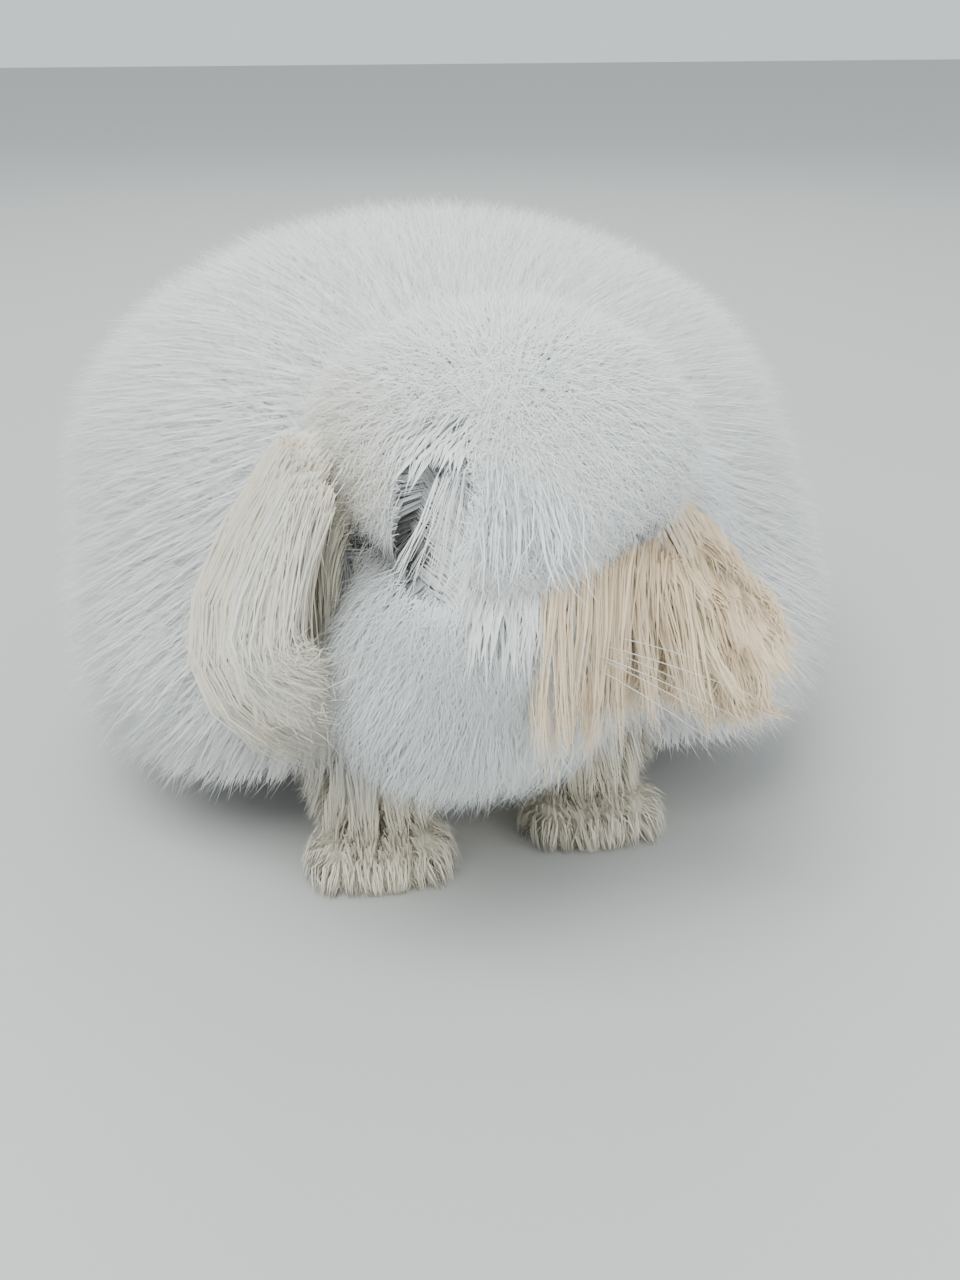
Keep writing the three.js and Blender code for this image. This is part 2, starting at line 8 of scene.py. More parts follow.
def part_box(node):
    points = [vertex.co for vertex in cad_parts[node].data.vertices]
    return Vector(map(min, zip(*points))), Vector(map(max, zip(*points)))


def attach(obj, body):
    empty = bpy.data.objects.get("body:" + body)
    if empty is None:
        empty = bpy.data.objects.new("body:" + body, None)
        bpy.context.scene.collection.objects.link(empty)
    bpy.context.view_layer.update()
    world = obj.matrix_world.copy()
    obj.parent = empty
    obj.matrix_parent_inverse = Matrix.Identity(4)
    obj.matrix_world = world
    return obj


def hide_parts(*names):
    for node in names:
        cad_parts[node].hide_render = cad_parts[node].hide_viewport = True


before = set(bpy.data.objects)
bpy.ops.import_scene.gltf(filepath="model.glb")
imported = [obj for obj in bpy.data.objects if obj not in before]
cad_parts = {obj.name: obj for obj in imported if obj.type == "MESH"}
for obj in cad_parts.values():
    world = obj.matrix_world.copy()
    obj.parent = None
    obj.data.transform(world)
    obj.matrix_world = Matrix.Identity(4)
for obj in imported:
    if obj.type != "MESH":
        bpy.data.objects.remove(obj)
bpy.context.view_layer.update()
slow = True

# Body: the bare animal under its wool. Haunches, chest, neck, skull and muzzle are rounded
# masses that run into one another, so they are laid out as eggs and melted into one skin.
# Sizes are in millimetres, as the frame's own are, from a middle line at x = 0.
BACK_HEIGHT, RUMP_Y, CHEST_Y = 166, 138, -98
HAUNCH_WIDTH, CHEST_WIDTH = 136, 100
HEAD_LENGTH, HEAD_WIDTH, EYE_RADIUS = 102, 60, 9.0
COAT_WIDTH, COAT_HEIGHT, COAT_REAR = 336, 232, 218
HEAD_PITCH, HEAD_YAW = math.radians(30), math.radians(-10)
HEAD_TURN_Y, HEAD_HEIGHT = -100, 158


def egg(x, y, z, rx, ry, rz, turn=np.eye(3)):
    """One rounded mass: its middle, its half sizes and how it is turned."""
    return np.array([x, y, z], float), np.array([rx, ry, rz], float), turn


pitch = np.array(Matrix.Rotation(HEAD_PITCH, 3, "X"))
yaw = np.array(Matrix.Rotation(HEAD_YAW, 3, "Z"))
HEAD_TURN = yaw @ pitch


def in_head(x, y, z):
    """A place given in the head's own level frame."""
    level = pitch @ np.array([x, y, z], float) + [0, -142 - HEAD_TURN_Y, HEAD_HEIGHT]
    return yaw @ level + [0, HEAD_TURN_Y, 0]


def head_way(x, y, z):
    way = HEAD_TURN @ np.array([x, y, z], float)
    return way / np.linalg.norm(way)


def head_egg(x, y, z, *radii):
    return egg(*in_head(x, y, z), *radii, turn=HEAD_TURN)


def far(v):
    return np.linalg.norm(v, axis=-1)


def unit(v):
    return v / np.maximum(far(v)[..., None], 1e-9)


def square_to(way, other):
    """What is left of a way when its part along another is taken out."""
    return way - other * np.sum(way * other, axis=-1, keepdims=True)


def ways_of(across, back, up):
    """One way for each place, from single numbers or from one number for each place."""
    return np.stack(np.broadcast_arrays(across, back, up), axis=-1)


def melted(points, eggs, blend):
    """Distance from points to the skin of eggs that run into one another."""
    total = None
    for at, radii, turn in eggs:
        local = (points - at) @ turn / radii
        near = far(local)
        steep = np.maximum(far(local / radii), 1e-9)
        one = near * (near - 1) / steep
        if total is None:
            total = one
        else:
            h = np.maximum(blend - np.abs(total - one), 0) / blend
            total = np.minimum(total, one) - h * h * blend / 4
    return total


class Form:
    """A furred mass: its skin and the outline of its coat, both seen from one middle point."""

    def __init__(self, middle, skin, coat, blend, shortest=0.0):
        self.middle = np.array(middle, float)
        self.skin, self.coat, self.blend, self.shortest = skin, coat, blend, shortest

    def reach(self, ways, eggs):
        low, high = np.zeros(len(ways)), np.full(len(ways), 320.0)
        for _ in range(22):
            t = (low + high) / 2
            inside = melted(self.middle + ways * t[:, None], eggs, self.blend) < 0
            low, high = np.where(inside, t, low), np.where(inside, high, t)
        return low

    def spans(self, ways):
        skin = self.reach(ways, self.skin)
        return skin, np.maximum(self.reach(ways, self.coat), skin + self.shortest)

    def at(self, ways, share):
        skin, tips = self.spans(ways)
        return self.middle + ways * (skin + (tips - skin) * share)[:, None]

    def slope(self, points, eggs):
        e = 0.5
        steps = np.eye(3) * e
        rise = [melted(points + s, eggs, self.blend) - melted(points - s, eggs, self.blend)
                for s in steps]
        return unit(np.stack(rise, axis=-1))


torso_form = Form(
    (0, 22, 96),
    [
        egg(0, RUMP_Y - 76, BACK_HEIGHT - 74, HAUNCH_WIDTH / 2, 76, 74),  # haunches
        egg(0, CHEST_Y + 56, 88, CHEST_WIDTH / 2, 56, 56),  # chest
    ],
    [
        egg(0, COAT_REAR - 150, COAT_HEIGHT - 111, COAT_WIDTH / 2 - 3, 148, 109),  # hindquarters
        egg(0, -22, 118, 136, 92, 90),  # shoulders
        *(egg(side * 98, 4, 66, 66, 98, 63) for side in (1, -1)),  # skirts of the flanks
    ],
    34,
)
neck_form = Form(
    (-2, -92, 116),
    [egg(0, -84, 128, 42, 36, 40), egg(-4, -94, 96, 30, 26, 36)],
    [egg(0, -84, 132, 94, 56, 68), egg(-6, -112, 92, 54, 42, 50)],
    20,
)
head_form = Form(
    in_head(0, -4, 0),
    [
        head_egg(0, 10, 4, HEAD_WIDTH / 2, HEAD_LENGTH * 0.36, 27),  # skull
        head_egg(0, -30, -6, 16, 22, 16),  # muzzle
        *(head_egg(side * 7.5, -41, -10, 10.5, 10, 9) for side in (1, -1)),  # lip pads
        head_egg(0, -36, -17, 10, 12, 7),  # chin
        *(head_egg(side * 15, -8, -13, 17, 23, 18) for side in (1, -1)),  # jowls
    ],
    [head_egg(0, 36, 6, 66, 44, 46), head_egg(0, 14, 20, 40, 36, 29)],
    9,
    shortest=2.0,
)
eye_at = {side: in_head(side * 24.5, -9, 7) for side in (1, -1)}
low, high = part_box("eye_left")
origin = np.array((low + high) / 2) * 1000 - eye_at[1]


def place(points):
    """Millimetres of the layout as metres of the frame."""
    return (np.asarray(points, float) + origin) / 1000


def mesh_piece(name, points, faces, material):
    mesh = bpy.data.meshes.new(name)
    mesh.from_pydata(place(points).tolist(), [], faces)
    mesh.validate()
    mesh.update()
    mesh.shade_smooth()
    mesh.materials.append(material)
    piece = bpy.data.objects.new(name, mesh)
    bpy.context.collection.objects.link(piece)
    return piece


class Shade:
    """One output of a shader node, with arithmetic that adds the nodes it needs."""

    def __init__(self, tree, socket):
        self.tree, self.socket = tree, socket

    def node(self, kind, settings=(), inputs=(), output=0):
        made = self.tree.nodes.new(kind)
        for key, value in dict(settings).items():
            if key == "stops":
                ramp = made.color_ramp
                while len(ramp.elements) < len(value):
                    ramp.elements.new(0.5)
                for element, (at, colour) in zip(ramp.elements, value):
                    element.position, element.color = at, (*colour, 1)
            else:
                setattr(made, key, value)
        for key, value in dict(inputs).items():
            if isinstance(value, Shade):
                self.tree.links.new(value.socket, made.inputs[key])
            elif value is not None:
                made.inputs[key].default_value = value
        return Shade(self.tree, made.outputs[output])

    def math(self, operation, first, second=None, clamp=False):
        settings = {"operation": operation, "use_clamp": clamp}
        return self.node("ShaderNodeMath", settings, {0: first, 1: second})

    def __add__(self, other):
        return self.math("ADD", self, other)

    def __radd__(self, other):
        return self.math("ADD", other, self)

    def __sub__(self, other):
        return self.math("SUBTRACT", self, other)

    def __rsub__(self, other):
        return self.math("SUBTRACT", other, self)

    def __mul__(self, other):
        return self.math("MULTIPLY", self, other)

    def __rmul__(self, other):
        return self.math("MULTIPLY", other, self)

    def clamped(self):
        return self.math("ADD", self, 0.0, clamp=True)

    def ramp(self, stops):
        return self.node("ShaderNodeValToRGB", {"stops": stops}, {0: self})

    def painted(self, *names):
        """The values that the mesh itself keeps under these names."""
        return [self.node("ShaderNodeAttribute", {"attribute_name": name}, output=2) for name in names]

    def mixed(self, one, other):
        """The colour `one` where this is 0 and `other` where it is 1."""
        ends = {6: one, 7: other}
        ends = {k: v if isinstance(v, Shade) else (*v, 1) for k, v in ends.items()}
        return self.node("ShaderNodeMix", {"data_type": "RGBA"}, {0: self, **ends}, output=2)


def finish_of(name, colour, roughness, sheen=0.0, coat=0.0, specular=0.5):
    """A material. Its colour is a fixed one, or a function that makes one that varies."""
    material = bpy.data.materials.new(name)
    material.use_nodes = True
    tree = material.node_tree
    inputs = tree.nodes["Principled BSDF"].inputs
    if callable(colour):
        tree.links.new(colour(Shade(tree, None)).socket, inputs["Base Color"])
    else:
        inputs["Base Color"].default_value = (*colour, 1)
    for key, value in (("Roughness", roughness), ("Sheen Weight", sheen), ("Coat Weight", coat),
                       ("Specular IOR Level", specular)):
        inputs[key].default_value = value
    return material


def mottled(start, scale, one, other):
    """Two colours in even cloudy patches, fixed to the rabbit."""
    spot = start.node("ShaderNodeTexCoord", output=3)
    clouds = start.node("ShaderNodeTexNoise", {}, {"Vector": spot, "Scale": scale, "Detail": 2.0})
    return clouds.ramp([(0.3, one), (0.7, other)])


def stitched(count, sides):
    """Faces of `count` rings of points, closed by one point at each end."""
    faces = []
    for i in range(count - 1):
        for k in range(sides):
            n = (k + 1) % sides
            faces.append((i * sides + k, (i + 1) * sides + k, (i + 1) * sides + n, i * sides + n))
    first, end, last = count * sides, count * sides + 1, (count - 1) * sides
    for k in range(sides):
        n = (k + 1) % sides
        faces += [(first, k, n), (end, last + n, last + k)]
    return faces


def sphere(at, radii, turn=np.eye(3), rings=24, sides=32):
    """Points and faces of a round body."""
    points = []
    for i in range(1, rings):
        a = math.pi * i / rings
        for k in range(sides):
            b = 2 * math.pi * k / sides
            points.append((math.sin(a) * math.cos(b), math.sin(a) * math.sin(b), math.cos(a)))
    points += [(0, 0, 1), (0, 0, -1)]
    points = np.array(points) * radii
    return points @ np.asarray(turn).T + at, stitched(rings - 1, sides)


def blob(form):
    """Points and faces of a melted mass, pushed out along rays from its middle."""
    ways, faces = sphere(np.zeros(3), np.ones(3), rings=60, sides=80)
    ways = unit(ways)
    return form.middle + ways * form.reach(ways, form.skin)[:, None], faces


def tube(line, wide, high, side, sides=16):
    """Points and faces of a limb along a line of points, with half widths and half heights."""
    line = np.asarray(line, float)
    along = unit(np.gradient(line, axis=0))
    across = unit(side - along * (along @ side)[:, None])
    over = np.cross(across, along)
    angles = 2 * math.pi * np.arange(sides) / sides
    wide, high = (np.asarray(v)[:, None, None] for v in (wide, high))
    rings = (line[:, None] + across[:, None] * (np.cos(angles)[None, :, None] * wide)
             + over[:, None] * (np.sin(angles)[None, :, None] * high))
    return np.concatenate([rings.reshape(-1, 3), line[:1], line[-1:]]), stitched(len(line), sides)


def curved(points, count):
    """A smooth line through a few points."""
    points = np.asarray(points, float)
    before, after = 2 * points[:1] - points[1:2], 2 * points[-1:] - points[-2:-1]
    padded = np.concatenate([before, points, after])
    t = np.linspace(0, len(points) - 1, count)
    i = np.minimum(t.astype(int), len(points) - 2)
    u = (t - i)[:, None]
    a, b, c, d = (padded[i + k] for k in range(4))
    bend, twist = 2 * a - 5 * b + 4 * c - d, 3 * b - a - 3 * c + d
    return 0.5 * (2 * b + (c - a) * u + bend * u**2 + twist * u**3)


# Ears: hung flaps of gristle under thin skin, rooted on the crown and bent down beside the
# cheeks, with the cup turned in. Their places are needed by the skin and by the wool on them.
EAR_THICKNESS, EAR_CUP = 3.0, 9.0
# Middle lines from root to tip (across, back and up, in the head's own frame), and half widths.
EAR_LINES = {
    -1: [(20, 22, 14), (38, 19, 24), (58, 8, 16), (71, -4, -4), (77, -16, -28), (76, -26, -50)],
    1: [(20, 22, 14), (37, 16, 9), (51, 7, -11), (63, -2, -29), (76, -9, -41), (88, -15, -48)],
}
EAR_STATIONS = [(0, 8), (0.18, 11), (0.36, 18), (0.56, 23), (0.76, 19), (0.9, 12), (0.97, 6),
                (1.0, 2)]
EAR_STEPS = 120


def ear_line(side, t):
    """The ear's middle line, and the ways along it, across it and in towards the cheek."""
    line = curved([in_head(side * x, y, z) for x, y, z in EAR_LINES[side]], EAR_STEPS + 1)
    t = np.clip(np.asarray(t, float), 0, 1)

    def pick(values):
        return np.stack([np.interp(t * EAR_STEPS, np.arange(EAR_STEPS + 1), values[:, k])
                         for k in range(3)], axis=-1)

    along = unit(np.gradient(line, axis=0))
    turned = np.clip(t / 0.6, 0, 1)
    turned = turned * turned * (3 - 2 * turned)
    swung, raised = (0.35, 0.5) if side > 0 else (0.75, 0.0)
    wish = ways_of(side * (0.05 + swung * turned), 1 - 0.4 * turned, 0.06 + raised * turned)
    wish = unit(wish) @ HEAD_TURN.T
    along = unit(pick(along))
    across = unit(square_to(wish, along))
    inward = np.cross(across, along) * side
    return pick(line), along, across, inward


def ear_point(side, t, s, lift=0.0):
    """A point of the flap: s is -1 on the front rim and 1 on the rear rim; lift is inward."""
    middle, along, across, inward = ear_line(side, t)
    wide = np.interp(t, *zip(*EAR_STATIONS))
    s = np.asarray(s, float)
    cup = EAR_CUP * (wide / 24) * s * s
    return middle + across * (wide * s)[..., None] + inward * (cup + lift)[..., None]


def ear_flap(side):
    spans, half = np.linspace(-1, 1, 11), EAR_THICKNESS / 2
    rings = []
    for t in np.linspace(0, 1, 26):
        here = np.full(len(spans), t)
        rings.append(np.concatenate([ear_point(side, here, spans * side, -half),
                                     ear_point(side, here, -spans * side, half)]))
    ends = [ring.mean(0, keepdims=True) for ring in (rings[0], rings[-1])]
    return np.concatenate(rings + ends), stitched(len(rings), 2 * len(spans))


# Skin: one pink-white hide over the whole bare animal, from the lips to the tail, with the
# nose pad, the cleft of the lips, the nostrils and the lids shaped in it.
FORE_FEET = {1: (44, -87), -1: (-44, -103)}
FORE_LENGTH, FORE_HALF = 44, 22
HIND_X, HIND_TOE, HIND_LENGTH, HIND_HALF = 56, 12, 104, 18
TOES = (-1, -0.34, 0.34, 1)


def toe_places(x, toe, half):
    return [np.array([x + s * half * 0.72, toe + 9 + 5 * abs(s), 8.0]) for s in TOES]


def limb(path, wide, high, steps=12):
    """A limb along a path, with its half widths and half heights at both ends."""
    return tube(curved(path, steps), np.linspace(*wide, steps), np.linspace(*high, steps),
                np.array([1.0, 0, 0]))


def toes(x, toe, half, share):
    return [sphere(at, (half * share, 11, 6.5), rings=12, sides=16)
            for at in toe_places(x, toe, half)]


LID_WIDE, LID_HIGH, LID_THICK, LID_OUT = 8.9, 6.5, 2.1, 4.2


def lids(side):
    """A ring of small beads round the eye, which the hide closes over."""
    out = head_way(side, -0.42, 0.12)
    across = unit(np.cross(out, [0, 0, 1]))
    up = np.cross(across, out)
    centre = eye_at[side] + out * LID_OUT
    return [sphere(centre + across * LID_WIDE * math.cos(a) + up * LID_HIGH * math.sin(a),
                   (LID_THICK,) * 3, rings=8, sides=10) for a in np.linspace(0, 2 * math.pi, 25)[:-1]]


bodies = [blob(form) for form in (torso_form, neck_form, head_form)]
for side in (1, -1):
    bodies.append(ear_flap(side))
    x, toe = FORE_FEET[side]
    heel = toe + FORE_LENGTH
    bodies.append(limb([(x, heel - 16, 6), (x, heel - 8, 34), (x * 0.96, heel + 12, 74),
                        (x * 0.8, heel + 22, 96)], (12, 18), (10, 18)))
    bodies.append(sphere((x, toe + FORE_LENGTH / 2 + 4, 8), (FORE_HALF - 5, FORE_LENGTH / 2 - 5, 9)))
    bodies += toes(x, toe, FORE_HALF, 0.30)
    x = side * HIND_X
    bodies.append(limb([(x, HIND_TOE + 8, 7), (x, HIND_TOE + 50, 8),
                        (x, HIND_TOE + HIND_LENGTH - 3, 11)], (14, 11), (6.5, 9)))
    bodies.append(sphere((x * 0.9, HIND_TOE + 62, 46), (22, 44, 38)))  # thigh
    bodies += toes(x, HIND_TOE, HIND_HALF, 0.32)
    bodies += lids(side)
bodies.append(sphere((0, 158, 100), (14, 24, 14)))  # stump of the tail
bodies.append(sphere(in_head(0, -51.5, -4.5), (5.4, 4.2, 4.0), HEAD_TURN))  # nose pad

points = np.concatenate([b[0] for b in bodies])
faces, start_at = [], 0
for body_points, body_faces in bodies:
    faces += [tuple(i + start_at for i in f) for f in body_faces]
    start_at += len(body_points)
points[:, 2] = np.maximum(points[:, 2], 0.4)


def hide_colour(start):
    """Down-covered hide: white with some pink in it, cream and tan where the wool is, and bare
    pink at the nose and lips."""
    cream, tan, grey, bare = start.painted("cream", "tan", "grey", "bare")
    downy = mottled(start, 30, (0.86, 0.82, 0.79), (0.90, 0.88, 0.86))
    marked = tan.mixed(cream.mixed(downy, (0.84, 0.76, 0.61)), (0.88, 0.70, 0.48))
    # Painted shade of the eye hollows, partly grey lid rims: the hide turns dark grey close round the
    # eyes.
    marked = grey.mixed(marked, (0.34, 0.32, 0.32))
    return bare.mixed(marked, mottled(start, 90, (0.78, 0.58, 0.52), (0.80, 0.57, 0.52)))


skin_finish = finish_of("hide", hide_colour, 0.65)
skin = mesh_piece("skin", points, faces, skin_finish)
remesh = skin.modifiers.new("one hide", "REMESH")
remesh.mode, remesh.voxel_size = "VOXEL", 0.0021  # metres
soften = skin.modifiers.new("soften", "SMOOTH")
soften.iterations, soften.factor = 2, 0.5
bpy.context.view_layer.objects.active = skin
for modifier in ("one hide", "soften"):
    with bpy.context.temp_override(object=skin, active_object=skin):
        bpy.ops.object.modifier_apply(modifier=modifier)

# Grooves of the lips and nostrils are pressed into the finished hide.
co = np.empty(len(skin.data.vertices) * 3)
skin.data.vertices.foreach_get("co", co)
co = co.reshape(-1, 3) * 1000 - origin
NOSTRIL, CLEFT = 1.7, 1.3
grooves = [
    ([(1.6, -56, -5.2), (3.4, -51, -4.4), (4.6, -46, -3.2)], NOSTRIL),
    ([(-1.6, -56, -5.2), (-3.4, -51, -4.4), (-4.6, -46, -3.2)], NOSTRIL),
    ([(0, -55, -8), (0, -53, -11), (0, -50.5, -14.5)], CLEFT),
    ([(-13, -36, -19.5), (-7, -46, -17.5), (0, -50.5, -14.5), (7, -46, -17.5), (13, -36, -19.5)],
     CLEFT),
]
for path, radius in grooves:
    line = curved([in_head(*p) for p in path], 30)
    near = far(co[:, None] - line[None]).min(axis=1)
    press = np.clip(1 - near / (2 * radius), 0, 1) ** 2 * radius
    co -= unit(co - in_head(0, -30, -8)) * press[:, None]
skin.data.vertices.foreach_set("co", ((co + origin) / 1000).ravel())
skin.data.update()
skin.data.shade_smooth()
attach(skin, "root")
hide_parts("torso", "neck", "head", "tail", "ear_left", "ear_right",
            "foreleg_left", "foreleg_right", "hindleg_left", "hindleg_right")

# Eyes: wet dark globes set in the lids, each a brown iris round a wide black pupil under a
# clear bulge. They are turned out and a little forward, as a rabbit's are.


def eye_colour(start):
    """Black in the pupil, brown in the iris and dark again at its edge."""
    from_pupil, = start.painted("from_pupil")
    return from_pupil.ramp([(0.0, (0.004, 0.003, 0.003)), (0.5, (0.006, 0.004, 0.003)),
                            (0.56, (0.04, 0.017, 0.009)), (0.85, (0.055, 0.024, 0.012)),
                            (0.95, (0.012, 0.007, 0.006))])


eye_finish = finish_of("wet eye", eye_colour, 0.12, coat=1.0)
for side, name in ((1, "eye_left"), (-1, "eye_right")):
    out = head_way(side, -0.3, 0.1)
    turn = np.array(Vector(out).to_track_quat("Z", "Y").to_matrix())
    points, faces = sphere(np.zeros(3), (1, 1, 1), rings=40, sides=48)
    from_front = np.degrees(np.arccos(np.clip(points[:, 2], -1, 1)))
    bulge = 1 + 0.06 * np.clip(1 - (from_front / 42) ** 2, 0, 1)
    globe = (points * bulge[:, None] * EYE_RADIUS) @ turn.T + eye_at[side]
    eye = mesh_piece(name + "_globe", globe, faces, eye_finish)
    kept = eye.data.attributes.new("from_pupil", "FLOAT", "POINT")
    kept.data.foreach_set("value", np.clip(from_front / 60, 0, 1).astype(np.float32))
    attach(eye, "root")
    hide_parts(name)

# Claws: short curved cones of horn on each of four toes of every foot, half lost in the fur.
CLAW_LENGTH = 10.0
claw_finish = finish_of(
    "horn", lambda start: mottled(start, 200, (0.10, 0.075, 0.055), (0.22, 0.17, 0.12)), 0.35)


def claws(name, x, toe, half):
    points, faces = [], []
    ts = np.linspace(0, 1, 8)
    thick = 1.9 * np.sqrt(np.clip(1 - ts**1.6, 0.01, 1))
    for s, at in zip(TOES, toe_places(x, toe, half)):
        way = unit(np.array([s * 0.25, -1, -0.15]))
        root = at + way * 7 + [0, 0, -1.0]
        line = np.array([root + way * CLAW_LENGTH * t + [0, 0, -3.6 * t * t] for t in ts])
        line[:, 2] = np.maximum(line[:, 2], 1.0)
        made, made_faces = tube(line, thick * 0.8, thick, np.array([1.0, 0, 0]), 10)
        faces += [tuple(i + len(points) for i in f) for f in made_faces]
        points += made.tolist()
    piece = mesh_piece(name, np.array(points), faces, claw_finish)
    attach(piece, "root")


for side, word in ((1, "left"), (-1, "right")):
    claws("claws_fore_" + word, *FORE_FEET[side], FORE_HALF)
    claws("claws_hind_" + word, side * HIND_X, HIND_TOE, HIND_HALF)

# Wool: every fibre bundle is a closed, three-sided, tapered strand that starts in the hide.
# Neighbouring strands draw together towards the tip of their lock, as combed wool does.
STRAND_TAPER = 0.75
CORNERS = [(0.0, 1.0), (1.0, -0.6), (-1.0, -0.6)]  # of a strand's section, across and up
GROUND_GAP = 1.5


def many(count):
    """How many strands are made: fewer in a draft."""
    return int(count * (1.0 if slow else 0.3))


def ear_nearness(side, points):
    """How far along an ear points lie, and how far off its middle line."""
    line = ear_line(side, np.linspace(0, 1, 25))[0]
    gaps = np.concatenate([far(part[:, None] - line[None])
                           for part in np.array_split(points, max(len(points) // 4000, 1))])
    return gaps.argmin(axis=1) / 24, gaps.min(axis=1)


def eased(values, low, high):
    t = np.clip((values - low) / (high - low), 0, 1)
    return t * t * (3 - 2 * t)


# Where each marking, and the painted shade round the eyes (ROUND_EYE), starts and ends: shares of
# the ear's length for TAN_FROM and CREAM_FROM, and millimetres for the others.
TAN_FROM, TAN_BELOW, CREAM_FROM, BESIDE_EAR = (0.05, 0.2), (-18, 10), (0.05, 0.4), (24, 36)
ABOVE_FOOT, ROUND_FOOT, ROUND_EYE, ROUND_NOSE = (34, 60), (26, 44), (9, 20), (6, 11)


def markings_and_eye_shade(points):
    """Shares of cream, tan and eye shade at places on the hide: tan on the lower left ear, cream on
    the right ear and on all four feet, white everywhere else, and close round the eyes a dark grey
    that is painted shade of the eye hollows, partly grey lid rims."""
    t, off = ear_nearness(1, points)
    height = (points - in_head(0, 0, 0)) @ HEAD_TURN[:, 2]
    tan = eased(t, *TAN_FROM) * (1 - eased(height, *TAN_BELOW)) * (1 - eased(off, *BESIDE_EAR))
    t, off = ear_nearness(-1, points)
    cream = eased(t, *CREAM_FROM) * (1 - eased(off, *BESIDE_EAR)) * 0.9
    low = 1 - eased(points[:, 2], *ABOVE_FOOT)
    for side in (1, -1):
        x, toe = FORE_FEET[side]
        fore = far(points[:, :2] - [x, toe + 26])
        hind = far((points[:, :2] - [side * HIND_X, HIND_TOE + 52]) / [1, 2.2])
        cream = np.maximum(cream, low * (1 - eased(np.minimum(fore, hind), *ROUND_FOOT)))
    # Painted shade: a share that is 1 close round each eye. It stands for the shade of the eye hollow,
    # and partly for grey lid rims.
    eye_gap = np.minimum(*(far(points - eye_at[side] - head_way(side, 0, 0.5) * 2) for side in (1, -1)))
    return np.clip(cream, 0, 1), np.clip(tan, 0, 1), 1 - eased(eye_gap, *ROUND_EYE)


def mark(mesh, values):
    for key, data in values.items():
        made = mesh.attributes.new(key, "FLOAT", "POINT")
        made.data.foreach_set("value", np.asarray(data, np.float32))


mark(skin.data, dict(zip(("cream", "tan", "grey"), markings_and_eye_shade(co)),
                     bare=1 - eased(far(co - in_head(0, -54, -7)), *ROUND_NOSE)))


def even_ways(count, rng, spread):
    return unit(rng.normal(size=(count, 3)) * np.asarray(spread, float))


def off_ground(lines, height=GROUND_GAP):
    """Strands that would pass into the ground lie along it."""
    lines[..., 2] = np.maximum(lines[..., 2], height)
    return lines


def strands(name, lines, width, side, uv, shade, finish, out=None, soft=0.55, flatness=0.6,
            clear=None, marks=None):
    """One piece from centre lines [strand, ring, xyz], whose last ring is the tip. `out` is the
    coat's own way out at each strand, towards which its shading leans by the share `soft`. Strands
    that `clear` names are left out, and `marks` are the places whose cream, tan and painted eye
    shade they take."""
    marks = lines[:, 0] if marks is None else marks
    if clear is not None:
        open_here = ~clear(lines)
        lines, width, side, uv, shade, marks = (np.asarray(v)[open_here]
                                                for v in (lines, width, side, uv, shade, marks))
        out = None if out is None else out[open_here]
    count, rings, _ = lines.shape
    body = rings - 1
    along = unit(np.gradient(lines, axis=1))[:, :body]
    across = unit(square_to(unit(side)[:, None] + 0 * along, along))
    over = np.cross(across, along)
    share = np.linspace(0, 1, rings)[:body]
    swell = 0.75 + 0.25 * np.sin(np.pi * np.clip(share * 1.1, 0, 1))
    profile = swell * (1 - share**2.2 * STRAND_TAPER)
    wide = (np.asarray(width)[:, None] / 2) * profile[None]
    high = wide * flatness
    rim = np.stack([across * (wide * a)[..., None] + over * (high * b)[..., None] for a, b in CORNERS],
                   axis=2)
    ring_points = lines[:, :body, None] + rim
    points = np.concatenate([ring_points.reshape(count, body * 3, 3), lines[:, -1:]], axis=1)
    per = body * 3 + 1
    one = [(0, 2, 1)]
    for i in range(body - 1):
        for k in range(3):
            n = (k + 1) % 3
            a, b, c, d = i * 3 + k, i * 3 + n, (i + 1) * 3 + k, (i + 1) * 3 + n
            one += [(a, b, d), (a, d, c)]
    one += [((body - 1) * 3 + k, (body - 1) * 3 + (k + 1) % 3, per - 1) for k in range(3)]
    tris = (np.array(one)[None] + (np.arange(count) * per)[:, None, None]).reshape(-1)
    mesh = bpy.data.meshes.new(name)
    total = len(tris) // 3
    mesh.vertices.add(count * per)
    mesh.vertices.foreach_set("co", place(points.reshape(-1, 3)).astype(np.float32).ravel())
    mesh.loops.add(total * 3)
    mesh.loops.foreach_set("vertex_index", tris.astype(np.int32))
    mesh.polygons.add(total)
    mesh.polygons.foreach_set("loop_start", np.arange(0, total * 3, 3, dtype=np.int32))
    mesh.update(calc_edges=True)
    mesh.shade_smooth()
    if out is not None:
        own = unit(np.concatenate([rim.reshape(count, body * 3, 3), along[:, -1:]], axis=1))
        leaning = unit(own * (1 - soft) + unit(out)[:, None] * soft)
        mesh.normals_split_custom_set_from_vertices(leaning.reshape(-1, 3).tolist())
    tip = np.concatenate([np.repeat(share, 3), [1.0]])
    own_values = zip(("strand", "cream", "tan", "grey"), (np.asarray(shade), *markings_and_eye_shade(marks)))
    mark(mesh, {"tip": np.tile(tip, count), **{key: np.repeat(v, per) for key, v in own_values}})
    corner = np.stack([tip, [*np.tile([0.0, 0.5, 1.0], body), 0.5]], axis=-1)
    patch = np.clip(uv[:, None] + corner[None] * 0.003, 0, 1).reshape(-1, 2)
    layer = mesh.uv_layers.new(name="OFBake")
    layer.data.foreach_set("uv", patch[tris].astype(np.float32).ravel())
    mesh.materials.append(finish)
    piece = bpy.data.objects.new(name, mesh)
    bpy.context.collection.objects.link(piece)
    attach(piece, "root")
    return piece


def bent(root, knee, tip, rings, power=1.0):
    """Centre lines from root through the pull of a knee to the tip, closer set near the tip."""
    t = (np.linspace(0, 1, rings) ** power)[None, :, None]
    return (1 - t) ** 2 * root[:, None] + 2 * t * (1 - t) * knee[:, None] + t * t * tip[:, None]


def unwrapped(ways):
    """Places on an unwrap of the hide: round the body and from its underside to its top."""
    round_it = np.arctan2(ways[:, 1], ways[:, 0]) / (2 * math.pi) + 0.5
    return np.stack([round_it, ways[:, 2] / 2 + 0.5], axis=-1) * 0.99


